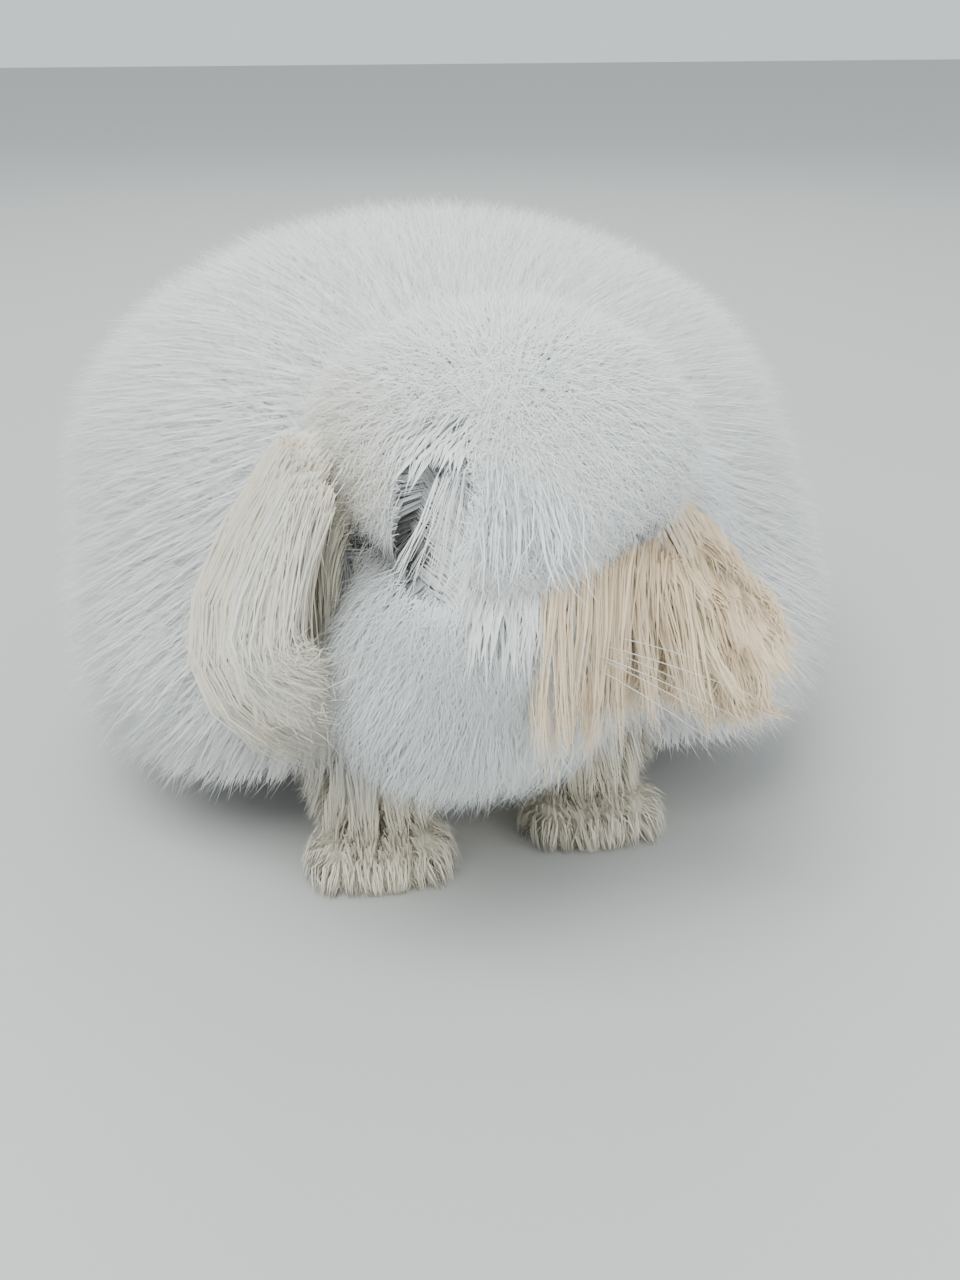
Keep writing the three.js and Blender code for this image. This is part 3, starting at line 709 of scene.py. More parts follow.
def wool(name, form, fine, cores, locks, seed, lie, run, finish, keep, spread=(1, 1, 1), pull=0.6,
         width=0.5, core_width=5.0, rings=4, vary=0.06, wave=0.0, lay_vary=0.3, soft=0.8,
         core_share=0.87, clear=None):
    """A coat over a form: broad tufts (cores) as its body and fine fibres over them. It runs along
    the way that `lie` gives for `run`. Strands whose roots are near one lock's middle bend towards
    its tip, and `pull` is how far they do."""
    rng = np.random.default_rng(seed)
    tip_close = 0.7  # rings stand closer together towards the tip
    t = np.linspace(0, 1, rings)

    def course(ways, jitter, share):
        top = form.at(ways, 1.0)
        normal = form.slope(top, form.coat)
        lay = square_to(unit(lie(top, normal)), normal)
        fall = np.clip(far(lay)[:, None] / 0.6, 0.1, 1)  # shorter where the wool parts
        lay = unit(lay)
        side = np.cross(lay, normal)
        turn = jitter[:, :1] * lay_vary
        lay = lay * np.cos(turn) + side * np.sin(turn)
        end = top + lay * (run * fall * (1 + 0.3 * jitter[:, 1:2]))
        heading = unit(end - form.middle)
        skin_at, coat_at = form.spans(heading)
        length = skin_at + (coat_at - skin_at) * (share + vary * jitter[:, 2])
        line = bent(form.at(ways, 0.0), form.at(ways, share) + (end - top) * 0.18,
                    form.middle + heading * length[:, None], rings, tip_close)
        swing = np.sin(t * 2 * math.pi * 1.3 + jitter[:, 3:4] * 2 * math.pi) * wave * t
        return line + np.cross(lay, normal)[:, None] * swing[..., None], side, top, normal

    count = many(fine) + many(cores)
    is_core = np.arange(count) < many(cores)
    centres = even_ways(locks, rng, spread)
    centre_lines = course(centres, rng.uniform(-1, 1, (locks, 4)), np.ones(locks))[0]
    ways = even_ways(count, rng, spread)
    jitter = rng.uniform(-1, 1, (count, 4)) * np.where(is_core[:, None], 0.4, 1)
    lines, side, top, normal = course(ways, jitter, np.where(is_core, core_share, 1.0))
    home = np.concatenate([np.argmax(part @ centres.T, axis=1) for part in np.array_split(ways, 20)])
    together = pull * (t**tip_close)[None, :, None] ** 1.6
    lines = off_ground(lines + (centre_lines[home] - lines) * together)
    shade = np.clip(rng.uniform(0, 1, locks)[home] * 0.6 + rng.uniform(0, 0.4, count), 0, 1)
    pick = np.flatnonzero(keep(top, normal))
    w = np.where(is_core, core_width, width) * rng.uniform(0.7, 1.3, count)
    return strands(name, lines[pick], w[pick], side[pick], unwrapped(ways[pick]), shade[pick], finish,
                   out=normal[pick], soft=soft, clear=clear)


def haze(name, form, count, seed, lie, run, finish, keep, spread=(1, 1, 1), width=0.36, top_share=0.97,
         turn=2.4, clear=None):
    """The soft face of a coat: short single fibres that end all over it and point every way."""
    rng = np.random.default_rng(seed)
    count = many(count)
    ways = even_ways(count, rng, spread)
    face = form.at(ways, top_share)
    normal = form.slope(face, form.coat)
    lay = unit(lie(face, normal) + rng.normal(size=(count, 3)) * 0.15)
    lay = unit(square_to(lay, normal))
    side = np.cross(lay, normal)
    angle = rng.normal(size=(count, 1)) * turn / 2
    lay = lay * np.cos(angle) + side * np.sin(angle)
    length = run * rng.uniform(0.6, 1.3, (count, 1))
    rise = rng.uniform(-0.1, 1, (count, 1)) ** 2 * 0.35 * length
    tip = face + lay * length * 0.7 + normal * rise
    lines = off_ground(np.stack([form.at(ways, 0.8) - lay * length * 0.3, tip], axis=1))
    pick = np.flatnonzero(keep(face, normal))
    return strands(name, lines[pick], width * rng.uniform(0.7, 1.3, len(pick)), side[pick],
                   unwrapped(ways[pick]), rng.uniform(0, 0.5, len(pick)), finish,
                   out=normal[pick], soft=0.93, clear=clear)


def wool_finish(name, white=(0.95, 0.945, 0.93), shade_and_tone_colour=(0.89, 0.90, 0.915), roughness=0.9):
    """Wool, darker towards its root with painted shade and in some locks with a tone that differs at
    random, cream or tan where the hide is so marked, and dark grey close round the eyes with painted
    shade of the eye hollows, partly grey lid rims.
    """
    def colour(start):
        strand, tip, cream, tan, grey = start.painted("strand", "tip", "cream", "tan", "grey")
        # Painted shade: the colour darkens towards each strand's root, deep in the coat where shade
        # falls. The strand value adds a darker tone in some locks at random.
        depth = ((1 - tip) * 0.55 + strand * 0.4).clamped()
        pale = depth.mixed(white, shade_and_tone_colour)
        creamy = depth.mixed((0.91, 0.83, 0.66), (0.80, 0.71, 0.54))
        sandy = depth.mixed((0.95, 0.77, 0.56), (0.76, 0.55, 0.35))
        # Painted shade of the eye hollows, partly grey lid rims: the wool turns dark grey close round
        # the eyes.
        eye_shade_grey = depth.mixed((0.42, 0.41, 0.41), (0.24, 0.23, 0.23))
        return grey.mixed(tan.mixed(cream.mixed(pale, creamy), sandy), eye_shade_grey)
    return finish_of(name, colour, roughness, sheen=0.35, specular=0.15)


# Coat of the body: two to three inches of white wool from the nape to the rump, standing out
# from the hide and lying back and down. Broad tufts below carry the fine fibres above, and a
# haze of short loose fibres closes its face.
body_wool = wool_finish("white wool")
BODY_SPREAD = (1, 0.95, 0.8)  # strands stand closer where this is large: across, along, up


def falling(top, normal):
    """The body wool lies back and down, and parts along the back."""
    return ways_of(top[:, 0] * 0.0035, 0.55, -1.0)


def within(points, form, margin):
    return melted(points, form.coat, form.blend) < -margin


def body_keep(top, normal):
    return (normal[:, 2] > -0.6) & ~within(top, neck_form, 18) & ~within(top, head_form, 12)


wool("body_wool", torso_form, fine=11500, cores=8500, locks=520, seed=20, lie=falling, run=46,
     finish=body_wool, keep=body_keep, spread=BODY_SPREAD, pull=0.1, core_width=3.4, rings=3,
     lay_vary=0.5, soft=0.94, core_share=0.93)
for layer in range(2):
    haze(f"body_haze_{layer + 1}", torso_form, count=70000, seed=21 + layer, lie=falling, run=15,
         finish=body_wool, keep=body_keep, spread=BODY_SPREAD, top_share=0.96 + 0.03 * layer, turn=3.6)

# Ruff and bib: long wool round the neck and down the chest. Its finish is the white wool made a little
# cooler and darker, a copy in painted shade, and the cheeks, forelock and cheek locks wear it too.
shaded_bib_wool = wool_finish("shaded bib wool", (0.90, 0.925, 0.915), (0.78, 0.81, 0.81))
BIB_SPREAD = (1, 0.6, 0.9)


def hanging(top, normal):
    """The bib wool hangs, forwards in front and back over the shoulders."""
    return ways_of(top[:, 0] * 0.004, -0.25 + 1.25 * eased(normal[:, 2], 0.2, 0.8), -1.0)


def ruff_keep(top, normal):
    return normal[:, 1] < 0.6


wool("neck_wool", neck_form, fine=3600, cores=1700, locks=260, seed=32, lie=hanging, run=34,
     finish=shaded_bib_wool, keep=ruff_keep, spread=BIB_SPREAD, pull=0.4, core_width=4.0, vary=0.1, wave=3.0,
     lay_vary=0.7, soft=0.88)
haze("neck_haze", neck_form, count=16000, seed=49, lie=hanging, run=13, finish=shaded_bib_wool,
     keep=ruff_keep, spread=BIB_SPREAD, turn=1.4)

# Head: white wool that grows from a parting across the crown, forwards over the brow and the
# roots of the ears and backwards into the ruff, so that the head is one rounded mass of wool.


def head_level(points):
    return (points - in_head(0, 0, 0)) @ HEAD_TURN


crown_form = Form(
    in_head(0, 0, 4), head_form.skin,
    [head_egg(0, 36, 6, 66, 44, 46), head_egg(0, -8, 15, 37, 38, 26), head_egg(32, 10, 16, 30, 25, 19),
     head_egg(-28, 12, 16, 26, 22, 16)], 24, shortest=3.0)
CROWN_SPREAD = (1.2, 1, 1)


def crown_keep(top, normal):
    """Over the right eye the wool stops short, so that the eye lies open under it."""
    level = head_level(top)
    open_eye = (level[:, 0] < -9) & (level[:, 0] > -34) & (level[:, 1] < 6)
    low = np.where(level[:, 1] > 26, -30, 15 - 0.12 * level[:, 1])
    return (level[:, 2] > low) & (normal[:, 1] < 0.8) & (normal[:, 2] > -0.5) & ~open_eye


# Up the face, and out of it, in the head's own frame.
FACE_UP, FACE_OUT = np.array([0.0, 0.81, 0.588]), np.array([0.0, -0.588, 0.809])
EYE_GAP_ACROSS, EYE_GAP_UP, EYE_GAP_BACK = 13, 11.5, 12  # half sizes, and how far back it goes


def over_eye(lines):
    """Strands that would fall across the open right eye, under its brow."""
    level = head_level(lines[:, 1:].reshape(-1, 3)).reshape(len(lines), -1, 3)
    across, up = level[..., 0] + 19, level @ FACE_UP + 3
    over = np.hypot((across - 0.35 * up) / EYE_GAP_ACROSS, up / EYE_GAP_UP) < 1
    return (over & (level[..., 1] < EYE_GAP_BACK)).any(axis=1)


def crown_lie(top, normal):
    level = head_level(top)
    turn = np.clip((level[:, 1] - 30) / 22, -1, 1)
    return ways_of(level[:, 0] * 0.022, turn, -0.35 * np.abs(turn)) @ HEAD_TURN.T


wool("crown_wool", crown_form, fine=9000, cores=3800, locks=150, seed=45, lie=crown_lie, run=28,
     finish=body_wool, keep=crown_keep, spread=CROWN_SPREAD, pull=0.15, width=0.42, core_width=2.0,
     vary=0.07, wave=1.0, lay_vary=0.5, soft=0.93, clear=over_eye)
haze("crown_haze", crown_form, count=38000, seed=48, lie=crown_lie, run=11, finish=body_wool,
     keep=crown_keep, spread=CROWN_SPREAD, width=0.33, clear=over_eye)

# Face: short plush from the nose to the brow and cheeks, laid back from the nose.


def face_fur():
    rng = np.random.default_rng(51)
    count = many(4500)
    ways = unit(rng.normal(size=(count, 3)) + head_way(0, -1, -0.1) * 0.6)
    root = head_form.middle + ways * head_form.reach(ways, head_form.skin)[:, None]
    normal = head_form.slope(root, head_form.skin)
    level = head_level(root)
    back = np.clip((level[:, 1] + 50) / 60, 0, 1)
    lay = unit(square_to(unit(root - in_head(0, -62, 4)), normal))
    length = 4 + 12 * back**1.2
    tip = root + lay * (length * 0.9)[:, None] + normal * (length * 0.5)[:, None]
    knee = root + normal * (length * 0.5)[:, None] + lay * (length * 0.2)[:, None]
    keep = (level[:, 1] < 16) & (level[:, 1] > -51)
    for side in (1, -1):
        keep &= far(root - eye_at[side] - head_way(side, -0.3, 0.1) * 4) > EYE_RADIUS + 0.5
        keep &= far(tip - eye_at[side]) > EYE_RADIUS + 1.5
    width = (0.6 + 0.5 * back) * rng.uniform(0.7, 1.3, count)
    pick = np.flatnonzero(keep)
    strands("face_fur", bent(root - normal * 0.6, knee, tip, 3)[pick], width[pick],
            np.cross(lay, normal)[pick], unwrapped(ways[pick]), rng.uniform(0, 1, count)[pick],
            body_wool, out=normal[pick])


face_fur()

# Cheek and lip wool: fluff below the eyes that stands past the nose and falls into the bib.
cheek_form = Form(
    in_head(-4, -20, -10), head_form.skin,
    [head_egg(-4, -22, -16, 37, 37, 34), egg(*(in_head(-16, -24, -24) + [0, 0, -17]), 44, 32, 50),
     head_egg(-47, 4, 8, 15, 18, 24)], 12, shortest=1.0)


def cheek_keep(top, normal):
    level = head_level(top)
    highest = np.where(level[:, 0] < -33, 34, 12 - 0.2 * np.abs(level[:, 0]))
    return (level[:, 2] < highest) & (level[:, 1] < 16) & (normal[:, 2] > -0.8)


def cheek_lie(top, normal):
    return ways_of(head_level(top)[:, 0] * 0.012, -0.1, -1.0)


wool("cheek_wool", cheek_form, fine=7500, cores=2400, locks=110, seed=55, lie=cheek_lie, run=34,
     finish=shaded_bib_wool, keep=cheek_keep, pull=0.35, width=0.4, core_width=2.0, rings=3, vary=0.1,
     lay_vary=0.6, soft=0.92, clear=over_eye)
haze("cheek_haze", cheek_form, count=24000, seed=56, lie=cheek_lie, run=13, finish=shaded_bib_wool,
     keep=cheek_keep, width=0.33, turn=1.1, clear=over_eye)

# Locks: strands that grow from one small patch of hide and come together in a point.
LOCK_ROOT = 6.0


def hung_locks(name, seed, plan, per, finish, rings=5, gather=0.82, width=0.42, cores=12,
               core_width=1.0, fluff=60, splay=2.2, clear=None, marks=None):
    """Locks given as (path, way across, thickness, way out). Each is `per` strands that leave a
    patch of hide round the path's start and come together at its end, the first few broader,
    and short loose fibres that stand off them."""
    rng = np.random.default_rng(seed)
    rows = {"": [], "_fluff": []}
    for index, (path, side, size, out) in enumerate(plan):
        line = curved(path, rings)
        way = unit(line[-1] - line[0])
        off = rng.normal(size=(per, 3)) * LOCK_ROOT * size * 0.5
        off -= np.outer(off @ way, way)
        t = np.linspace(0, 1, rings)[None, :, None]
        made = line[None] + off[:, None] * (1 - gather * t**1.3)
        made = made + rng.normal(size=(per, 1, 3)) * splay * t
        slip = 1 - rng.uniform(0, 0.25, (per, 1, 1)) * t
        made = made[:, :1] + (made - made[:, :1]) * slip
        swing = np.sin(t * 7.5 + rng.uniform(0, 6.28)) * 1.5 * t
        made = made + side * swing + side * np.sin(t * 6 + rng.uniform(0, 6.28, (per, 1, 1))) * 1.6 * t
        made = made + rng.normal(size=(per, rings, 3)) * 0.4 * t
        made[:cores] = line + (made[:cores] - line) * 0.85
        wide = np.where(np.arange(per) < cores, core_width * size, width) * rng.uniform(0.7, 1.3, per)
        tone = rng.uniform() * 0.6
        place_of = np.tile(made[0, 0] if marks is None else marks[index], (per, 1))
        outs = np.tile(out, (per, 1)) + unit(off) * 0.4
        rows[""].append((made, wide, np.tile(side, (per, 1)), outs, tone + rng.uniform(0, 0.4, per),
                         place_of))
        if not fluff:
            continue
        strand, ring = rng.integers(0, per, fluff), rng.integers(1, rings, fluff)
        step = made[strand, ring] - made[strand, ring - 1]
        start = made[strand, ring - 1] + step * rng.uniform(size=(fluff, 1))
        turn = unit(unit(step) + rng.normal(size=(fluff, 3)) * 0.35)
        short = np.stack([start, start + turn * rng.uniform(6, 12, (fluff, 1)) + out], axis=1)
        rows["_fluff"].append((short, np.full(fluff, width * 0.85), np.tile(side, (fluff, 1)),
                               outs[strand], tone + rng.uniform(0, 0.4, fluff),
                               np.tile(place_of[0], (fluff, 1))))
    for ending, parts in rows.items():
        if parts:
            lines, wide, sides, outs, shade, places = (np.concatenate(column) for column in zip(*parts))
            uv = unwrapped(unit(off_ground(lines)[:, 0] - head_form.middle))
            strands(name + ending, lines, wide, sides, uv, np.clip(shade, 0, 1), finish,
                    out=outs, soft=0.85, clear=clear, marks=places)


def ear_face():
    """Places on the outer faces of both ears, over which other locks lie."""
    t, s = (v.ravel() for v in np.meshgrid(np.linspace(0, 1, 30), np.linspace(-1, 1, 9)))
    return np.concatenate([ear_point(side, t, s, -EAR_THICKNESS) for side in (1, -1)])


ear_places = (ear_face() - in_head(0, 0, 0)) @ HEAD_TURN


def draped(path, lift):
    """A path given as (across, up the face), laid `lift` above the wool and ears under it."""
    sunk, ear_reach, ear_gap = 4, 9, 7  # how near wool or an ear counts, and the gap over an ear
    steps = np.arange(-90.0, 130.0)
    made = []
    for across, up in path:
        line = FACE_UP * up + FACE_OUT * steps[:, None] + [across, 0, 0]
        points = line @ HEAD_TURN.T + in_head(0, 0, 0)
        inside = np.zeros(len(steps), bool)
        for form in (neck_form, cheek_form, torso_form):
            inside |= melted(points, form.coat, form.blend) < sunk
        depth = steps[inside].max() if inside.any() else -20.0
        near = np.hypot(ear_places[:, 0] - across, ear_places @ FACE_UP - up) < ear_reach
        if near.any():
            depth = max(depth, (ear_places[near] @ FACE_OUT).max() + ear_gap)
        made.append(FACE_UP * up + FACE_OUT * (depth + lift) + [across, 0, 0])
    made = np.array(made)
    made[1:-1, :] = made[1:-1] * 0.5 + (made[:-2] + made[2:]) * 0.25
    return [in_head(*point) for point in made]


def between(first, last, share):
    return np.asarray(first, float) * (1 - share) + np.asarray(last, float) * share


# Forelock: long white wool that grows on the crown and falls between and over the eyes. It
# parts down the middle of the face, stops short over the right eye and covers the left one.
rng = np.random.default_rng(61)
plan = []
for i in range(22):
    x = rng.uniform(-4, 15)
    y = rng.uniform(-30, -8)
    drop = rng.uniform(18, 32) - 1.8 * max(x - 6, 0)
    sweep = rng.uniform(-3, 3) + 0.2 * (x - 4)
    path = [in_head(x * 0.8, y + 12, 32), in_head(x + sweep * 0.2, y - 4, 35 - 0.2 * abs(x)),
            in_head(x + sweep * 0.7, y * 0.6 - 21, 27 - drop * 0.3),
            in_head(x + sweep * 1.3, y * 0.25 - 33 + 0.6 * abs(x - 4), 24 - drop)]
    plan.append((path, head_way(1, 0, 0), 1.2, head_way(x * 0.02, -0.7, 0.7)))
unmarked = [in_head(0, -60, 0)] * len(plan)
hung_locks("forelock", 62, plan, many(62), shaded_bib_wool, gather=0.2, splay=4.0, core_width=0.7,
           fluff=200, marks=unmarked, clear=over_eye)

# A few long fine hairs cross the open eye from the parting.
plan = []
for i in range(6):
    x, z = -9 - 1.8 * i, 36 - 0.8 * i
    end = in_head(-17 - 5 * i + rng.uniform(-3, 3), -40 + 2.2 * i, -6 + rng.uniform(-10, 8))
    plan.append(([in_head(x, -4, z - 6), in_head(x - 1, -14, z), in_head(x - 6 - i, -30, z - 18), end],
                 head_way(1, 0, 0), 0.5, head_way(0, -0.7, 0.7)))
hung_locks("brow_hairs", 64, plan, 7, body_wool, cores=0, width=0.3, gather=0.3, fluff=0)

# Side locks of the cheeks hang beside the mouth, over the bib.
plan = []
for side in (1, -1):
    for i in range(11):
        root = in_head(side * (17 + 0.6 * i), -20 + 4.2 * i, -8 - 0.7 * i)
        out = head_way(side, -0.5, -0.1)
        fall = np.array([0, 0, -34 - rng.uniform(0, 14)])
        plan.append(([root, root + out * (14 + i) + fall * 0.2, root + out * (17 + i) + fall * 0.6,
                      root + out * (13 + 1.2 * i + rng.uniform(-3, 3)) + fall * 1.1],
                     head_way(-0.3 * side, -1, 0), 1.0, out))
hung_locks("cheek_locks", 63, plan, many(45), shaded_bib_wool)

# Ear wool: plush down the outer face and long pointed locks from both rims and the tip,
# cream on the right ear and tan on the left, each lock paler towards its point because its root
# part is darkened with painted shade.
ear_wool_finish = wool_finish("ear wool", (0.92, 0.90, 0.86), (0.82, 0.80, 0.76), 0.85)


def ear_plush(side, name, seed):
    rng = np.random.default_rng(seed)
    count = many(2200 if side < 0 else 2900)
    t, s = rng.uniform(0.02, 0.99, count), rng.uniform(-1, 1, count)
    root = ear_point(side, t, s, -EAR_THICKNESS / 2)
    _, along, across, inward = ear_line(side, t)
    lay = unit(along - across * (0.25 - s * 0.3)[:, None] + np.array([0, 0, -0.45]))
    length = rng.uniform(13, 22, count)
    tip = root + lay * length[:, None] - inward * (length * 0.30)[:, None]
    knee = root - inward * (length * 0.34)[:, None] + lay * (length * 0.3)[:, None]
    cell = np.floor(t * 14) * 7 + np.floor((s + 1) * 2.6)
    pull_to = {c: tip[cell == c].mean(0) for c in np.unique(cell)}
    tip = tip + (np.array([pull_to[c] for c in cell]) - tip) * 0.5
    shade = (np.sin(cell * 12.9) * 0.5 + 0.5) * 0.7 + rng.uniform(0, 0.3, count)
    uv = np.stack([t * 0.45 + 0.02, (s + 1) * 0.24 + 0.01], axis=-1)
    strands("ear_plush_" + name, bent(root + inward * 0.5, knee, tip, 4),
            np.where(np.arange(count) < count // 3, 1.3, 0.42) * rng.uniform(0.7, 1.3, count),
            np.cross(lay, -inward), uv, shade, ear_wool_finish, out=-inward, soft=0.85)


def rim_locks(rim, count, first, last, fall, reach, curl, seed):
    """Fringe of the left ear: each lock leaves a rim, swells out by `reach` and hangs by `fall`,
    with its end curled."""
    rng = np.random.default_rng(seed)
    plan = []
    for i in range(count):
        u = first + (last - first) * (i + rng.uniform(-0.3, 0.3)) / (count - 1)
        u = min(max(u, 0.02), 0.99)
        start_point = ear_point(1, np.array([u]), np.array([rim * rng.uniform(0.45, 0.95)]))[0]
        _, along, across, inward = (v[0] for v in ear_line(1, np.array([u])))
        out = unit(across * rim * 0.5 + along * 0.35 - inward * 0.6)
        drop = fall(u) * rng.uniform(0.75, 1.15)
        down = np.array([0, 0, -drop])
        bend = np.asarray(curl(u), float)
        path = [start_point, start_point + out * reach * 0.8 + down * 0.2,
                start_point + out * reach + down * 0.62 + bend * 0.25,
                start_point + out * reach * 0.6 + down + bend]
        plan.append((path, unit(across * 0.5 + along * 0.5), 0.8, unit(out - inward)))
    return plan


# The right ear hangs straight down, and its long locks swing out and curl in under it.
ear_plush(-1, "right", 71)
rng = np.random.default_rng(72)
# The outermost and the innermost lock, as places across and up the face.
outer = np.array([(-60, 22), (-98, -14), (-109, -48), (-98, -72), (-74, -84)])
inner = np.array([(-57, 4), (-63, -20), (-67, -40), (-66, -52), (-61, -56)])
plan = []
for layer in range(3):
    for i in range(14):
        share = min(max((i + rng.uniform(-0.4, 0.4)) / 13, 0), 1)
        line = between(outer, inner, share) + rng.normal(size=(5, 2)) * [1.5, 1.5]
        line[-1] += [rng.uniform(0, 14) * (1 - 0.6 * share), rng.uniform(-2, 3)]
        plan.append((draped(line, 3 + 5 * layer), head_way(0.7, 0, -0.7), 0.8,
                     head_way(-0.4, -0.6, 0.6)))
hung_locks("ear_fringe_right", 75, plan, many(76), ear_wool_finish, gather=0.7, rings=7,
           fluff=170, splay=3.0, core_width=0.75)

# The left ear is held out a little, so its front rim looks down and its locks fan from the
# mouth round to the shoulder.
ear_plush(1, "left", 76)
outwards = head_way(1, -0.2, -0.1)


def fan(u):
    return outwards * (-26 + 38 * u)


plan = rim_locks(rim=-1, count=16, first=0.45, last=0.98, fall=lambda u: 44 - 26 * u, reach=11,
                 curl=fan, seed=77)
plan += rim_locks(rim=-0.3, count=14, first=0.3, last=0.95, fall=lambda u: 40 - 22 * u, reach=11,
                  curl=fan, seed=78)
plan += rim_locks(rim=1, count=8, first=0.5, last=0.98, fall=lambda u: 14, reach=8,
                  curl=lambda u: outwards * 8, seed=79)
rng = np.random.default_rng(81)
marks = [path[0] for path, *_ in plan]
for layer in range(3):
    for i in range(13):
        share = min(max((i + rng.uniform(-0.3, 0.3)) / 12, 0), 1)
        top = between((17, -2), (70, -24), share)
        end = between((12, -78), (92, -57), share) - [0, 9 * math.sin(math.pi * min(share * 2.2, 1))]
        middle = between(top, end, 0.5) + [-5 * (1 - share), -3 * share]
        root = ear_point(1, np.array([0.12 + 0.5 * share]), np.array([-0.2]))[0]
        end = end + (end - middle) * rng.uniform(-0.25, 0.12) + rng.normal(size=2) * 2
        line = draped([top, middle, end], 5 + 5 * layer)
        plan.append(([root, *line], head_way(0.9, 0, 0.4), 0.9, head_way(0, -0.7, 0.7)))
        marks.append(ear_point(1, np.array([0.42 + 0.45 * share]), np.array([-0.3]))[0])
hung_locks("ear_fringe_left", 80, plan, many(52), ear_wool_finish, gather=0.93, marks=marks,
           rings=6, splay=1.2, fluff=80)

# Feet: dense cream fur, longer between the toes and down the back of the shank.
foot_fur = wool_finish("foot fur", (0.95, 0.93, 0.88), (0.88, 0.85, 0.79), 0.85)
FEET_GAP = 0.8  # the fur of the feet lies closer to the ground than the wool does


def leg_fur(name, x, toe, half, hind, seed):
    rng = np.random.default_rng(seed)
    length = HIND_LENGTH if hind else FORE_LENGTH
    count = many(2000 if hind else 5200)
    ways = unit(rng.normal(size=(count, 3)) * [1, 1, 0.9])
    sole, toe_size = [half - 4, length / 2, 9.0], [half * 0.3, 11, 6.5]
    part = rng.uniform(size=count)
    on = np.array(toe_places(x, toe, half))[rng.integers(0, 4, count)]
    front = (part < (0.2 if hind else 0.35))[:, None]
    root = np.where(front, on + ways * toe_size, np.array([x, toe + length / 2 + 2, 8.0]) + ways * sole)
    normal = np.where(front, unit(ways / toe_size), unit(ways / sole))
    if not hind:
        shank = (part > 0.68)[:, None]
        turn, z = rng.uniform(0, 2 * math.pi, count), rng.uniform(14, 70, count)
        ring = ways_of(np.cos(turn), np.sin(turn), 0 * turn)
        mid = ways_of(x, toe + length - 14 + (z - 20) * 0.2, z)
        root = np.where(shank, mid + ring * 15, root)
        normal = np.where(shank, ring, normal)
    lay = ways_of(normal[:, 0] * 0.6, -0.85, -0.5)
    lay = unit(lay - normal * np.sum(lay * normal, axis=-1, keepdims=True) * 0.8)
    long = (rng.uniform(10, 16, count) + np.clip(root[:, 2] - 14, 0, 40) * 0.3)[:, None]
    tip = root + lay * (long * 0.8) + normal * (long * 0.6)
    knee = root + normal * (long * 0.6) + lay * (long * 0.2)
    key = np.round(root / 8.0) @ [1.0, 100.0, 10000.0]
    kinds, home = np.unique(key, return_inverse=True)
    sums = np.stack([np.bincount(home, tip[:, k]) for k in range(3)], axis=-1)
    tip = tip + ((sums / np.bincount(home)[:, None])[home] - tip) * 0.45
    tip[:, 1] = np.maximum(tip[:, 1], toe - 9)
    lines = off_ground(bent(root - normal * 0.8, knee, tip, 3), FEET_GAP)
    size = np.where(np.arange(count) < count // 2, 0.9, 0.42) * rng.uniform(0.7, 1.3, count)
    last = lines[:, -1:]
    fluff = [last - unit(last - lines[:, :1]) * 9 + rng.normal(size=(count, 1, 3)) * 2.2]
    fluff = np.concatenate(fluff + [last + rng.normal(size=(count, 1, 3)) * 1.6], axis=1)
    side = np.cross(lay, normal)
    strands(name, lines, size, side, unwrapped(ways), rng.uniform(0, 0.7, len(kinds))[home], foot_fur,
            out=normal, soft=0.9)
    strands(name + "_fluff", off_ground(fluff, FEET_GAP), 0.34 * rng.uniform(0.7, 1.3, count), side,
            unwrapped(ways), rng.uniform(0, 0.4, count), foot_fur, out=normal, soft=0.93)


for side, word in ((1, "left"), (-1, "right")):
    leg_fur("fur_fore_" + word, *FORE_FEET[side], FORE_HALF, False, 81 + side)
    leg_fur("fur_hind_" + word, side * HIND_X, HIND_TOE, HIND_HALF, True, 85 + side)

# Tail: a short scut under a plume of white wool against the rump.
tail_form = Form((0, 168, 104), [egg(0, 160, 100, 15, 26, 15)], [egg(0, 184, 106, 40, 38, 37)], 6)
wool("tail_wool", tail_form, fine=3000, cores=500, locks=60, seed=91,
     lie=lambda top, normal: np.tile([0.0, 0.4, -1.0], (len(top), 1)), run=20, finish=body_wool,
     keep=lambda top, normal: normal[:, 1] > -0.1, pull=0.4, vary=0.08, wave=2.0)

# Whiskers: a few stiff pale hairs from the lip pads.
rng = np.random.default_rng(95)
WHISKER_LENGTH, WHISKER_WIDTH = (62, 80), 0.45
hairs = []
for side in (1, -1):
    for i in range(6):
        root = in_head(side * 13, -40 + 2.2 * (i % 3), -8 - 2.4 * (i // 3))
        way = head_way(side, -0.18 + 0.12 * (i % 3), -0.15 - 0.25 * (i // 3))
        end = root + way * rng.uniform(*WHISKER_LENGTH) + np.array([0, 0, -14.0])
        hairs.append(bent(root[None], (root + way * 26)[None], end[None], 8)[0])
hairs = np.array(hairs)
whisker_finish = finish_of(
    "whisker", lambda start: mottled(start, 60, (0.85, 0.83, 0.78), (0.7, 0.66, 0.6)), 0.4)
count = len(hairs)
strands("whiskers", hairs, np.full(count, WHISKER_WIDTH), np.tile([0.0, 0, 1.0], (count, 1)),
        np.linspace(0.1, 0.9, count)[:, None] * np.ones(2), np.ones(count), whisker_finish,
        flatness=0.9)

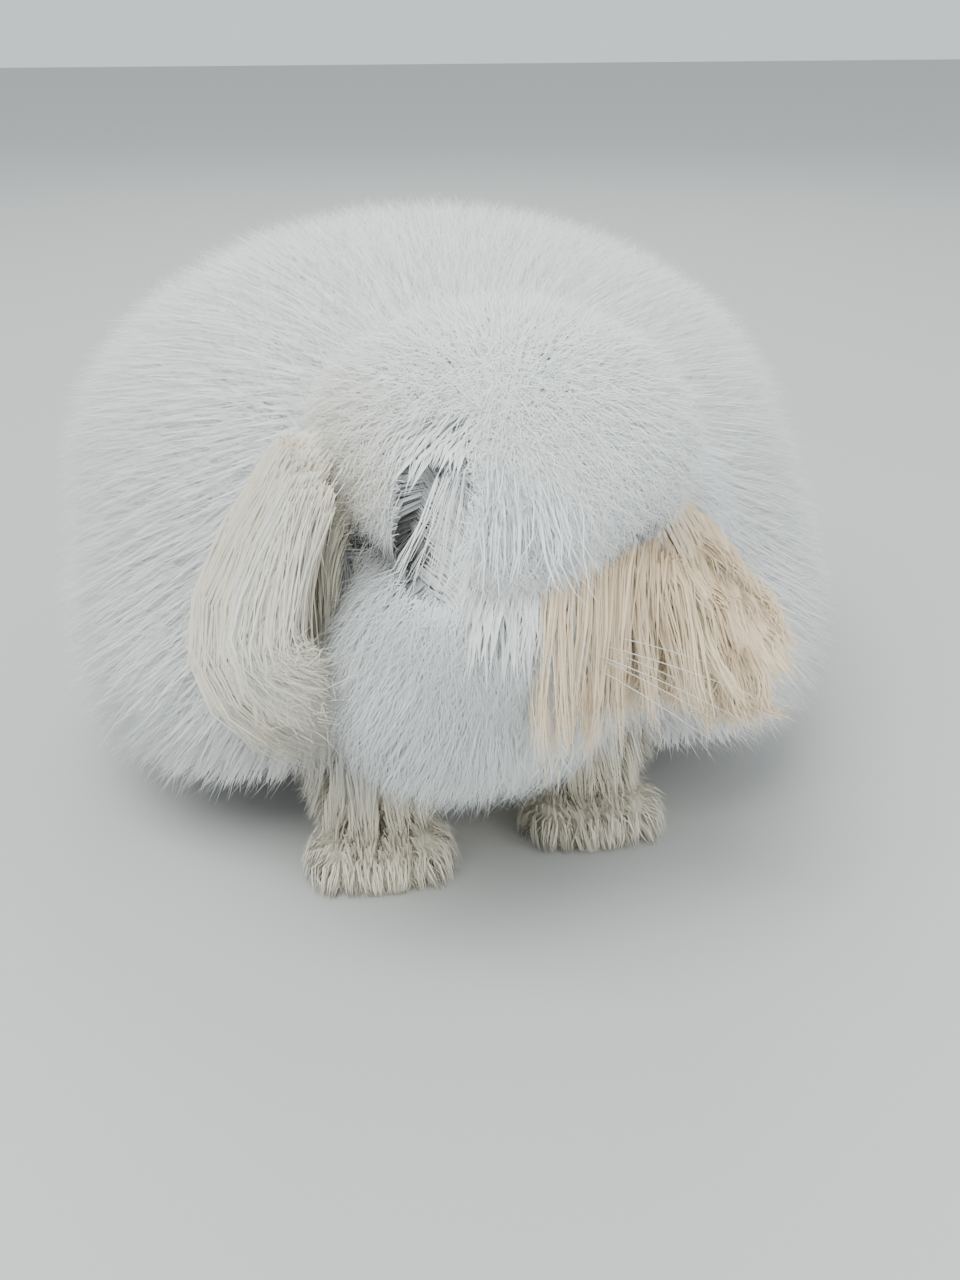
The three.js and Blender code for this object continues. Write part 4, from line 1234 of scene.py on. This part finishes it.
# Studio: a plain pale floor, soft lights, and the camera a hand's height above the rabbit's
# back, close in front and a little to its right.
FLOOR_HALF = 6  # metres
CAMERA_AT, CAMERA_TURN, CAMERA_TILT = (-91.4, -583.0, 317.0), math.radians(10), math.radians(24)
floor_mesh = bpy.data.meshes.new("floor")
floor_mesh.from_pydata([(-FLOOR_HALF, -FLOOR_HALF, 0), (FLOOR_HALF, -FLOOR_HALF, 0),
                        (FLOOR_HALF, FLOOR_HALF, 0), (-FLOOR_HALF, FLOOR_HALF, 0)], [], [(0, 1, 2, 3)])
floor_mesh.materials.append(finish_of("pale floor", (0.50, 0.49, 0.48), 0.8))
floor = bpy.data.objects.new("floor", floor_mesh)
bpy.context.collection.objects.link(floor)

world = bpy.data.worlds.new("studio")
world.use_nodes = True
backdrop = world.node_tree.nodes["Background"].inputs
backdrop["Color"].default_value = (0.84, 0.93, 0.96, 1)
backdrop["Strength"].default_value = 1.0
bpy.context.scene.world = world
for name, at, size, power in [
    ("key", (-0.7, -0.9, 1.9), 1.5, 62),
    ("fill", (1.3, -1.3, 0.5), 1.8, 22),
    ("back", (0.3, 1.6, 1.5), 1.2, 16),
]:
    light = bpy.data.lights.new(name, "AREA")
    light.shape, light.size, light.energy = "SQUARE", size, power
    light.color = (0.94, 1.0, 0.985)
    lamp = bpy.data.objects.new(name, light)
    lamp.location = at
    lamp.rotation_euler = (Vector((0, 0, 0.1)) - Vector(at)).to_track_quat("-Z", "Y").to_euler()
    bpy.context.collection.objects.link(lamp)

camera = bpy.data.objects.new("camera", bpy.data.cameras.new("camera"))
camera.data.lens, camera.data.sensor_width = 41.6, 36
camera.location = place(CAMERA_AT).tolist()
ahead = Vector((math.sin(CAMERA_TURN) * math.cos(CAMERA_TILT),
                math.cos(CAMERA_TURN) * math.cos(CAMERA_TILT), -math.sin(CAMERA_TILT)))
camera.rotation_euler = ahead.to_track_quat("-Z", "Y").to_euler()
bpy.context.collection.objects.link(camera)
bpy.context.scene.camera = camera
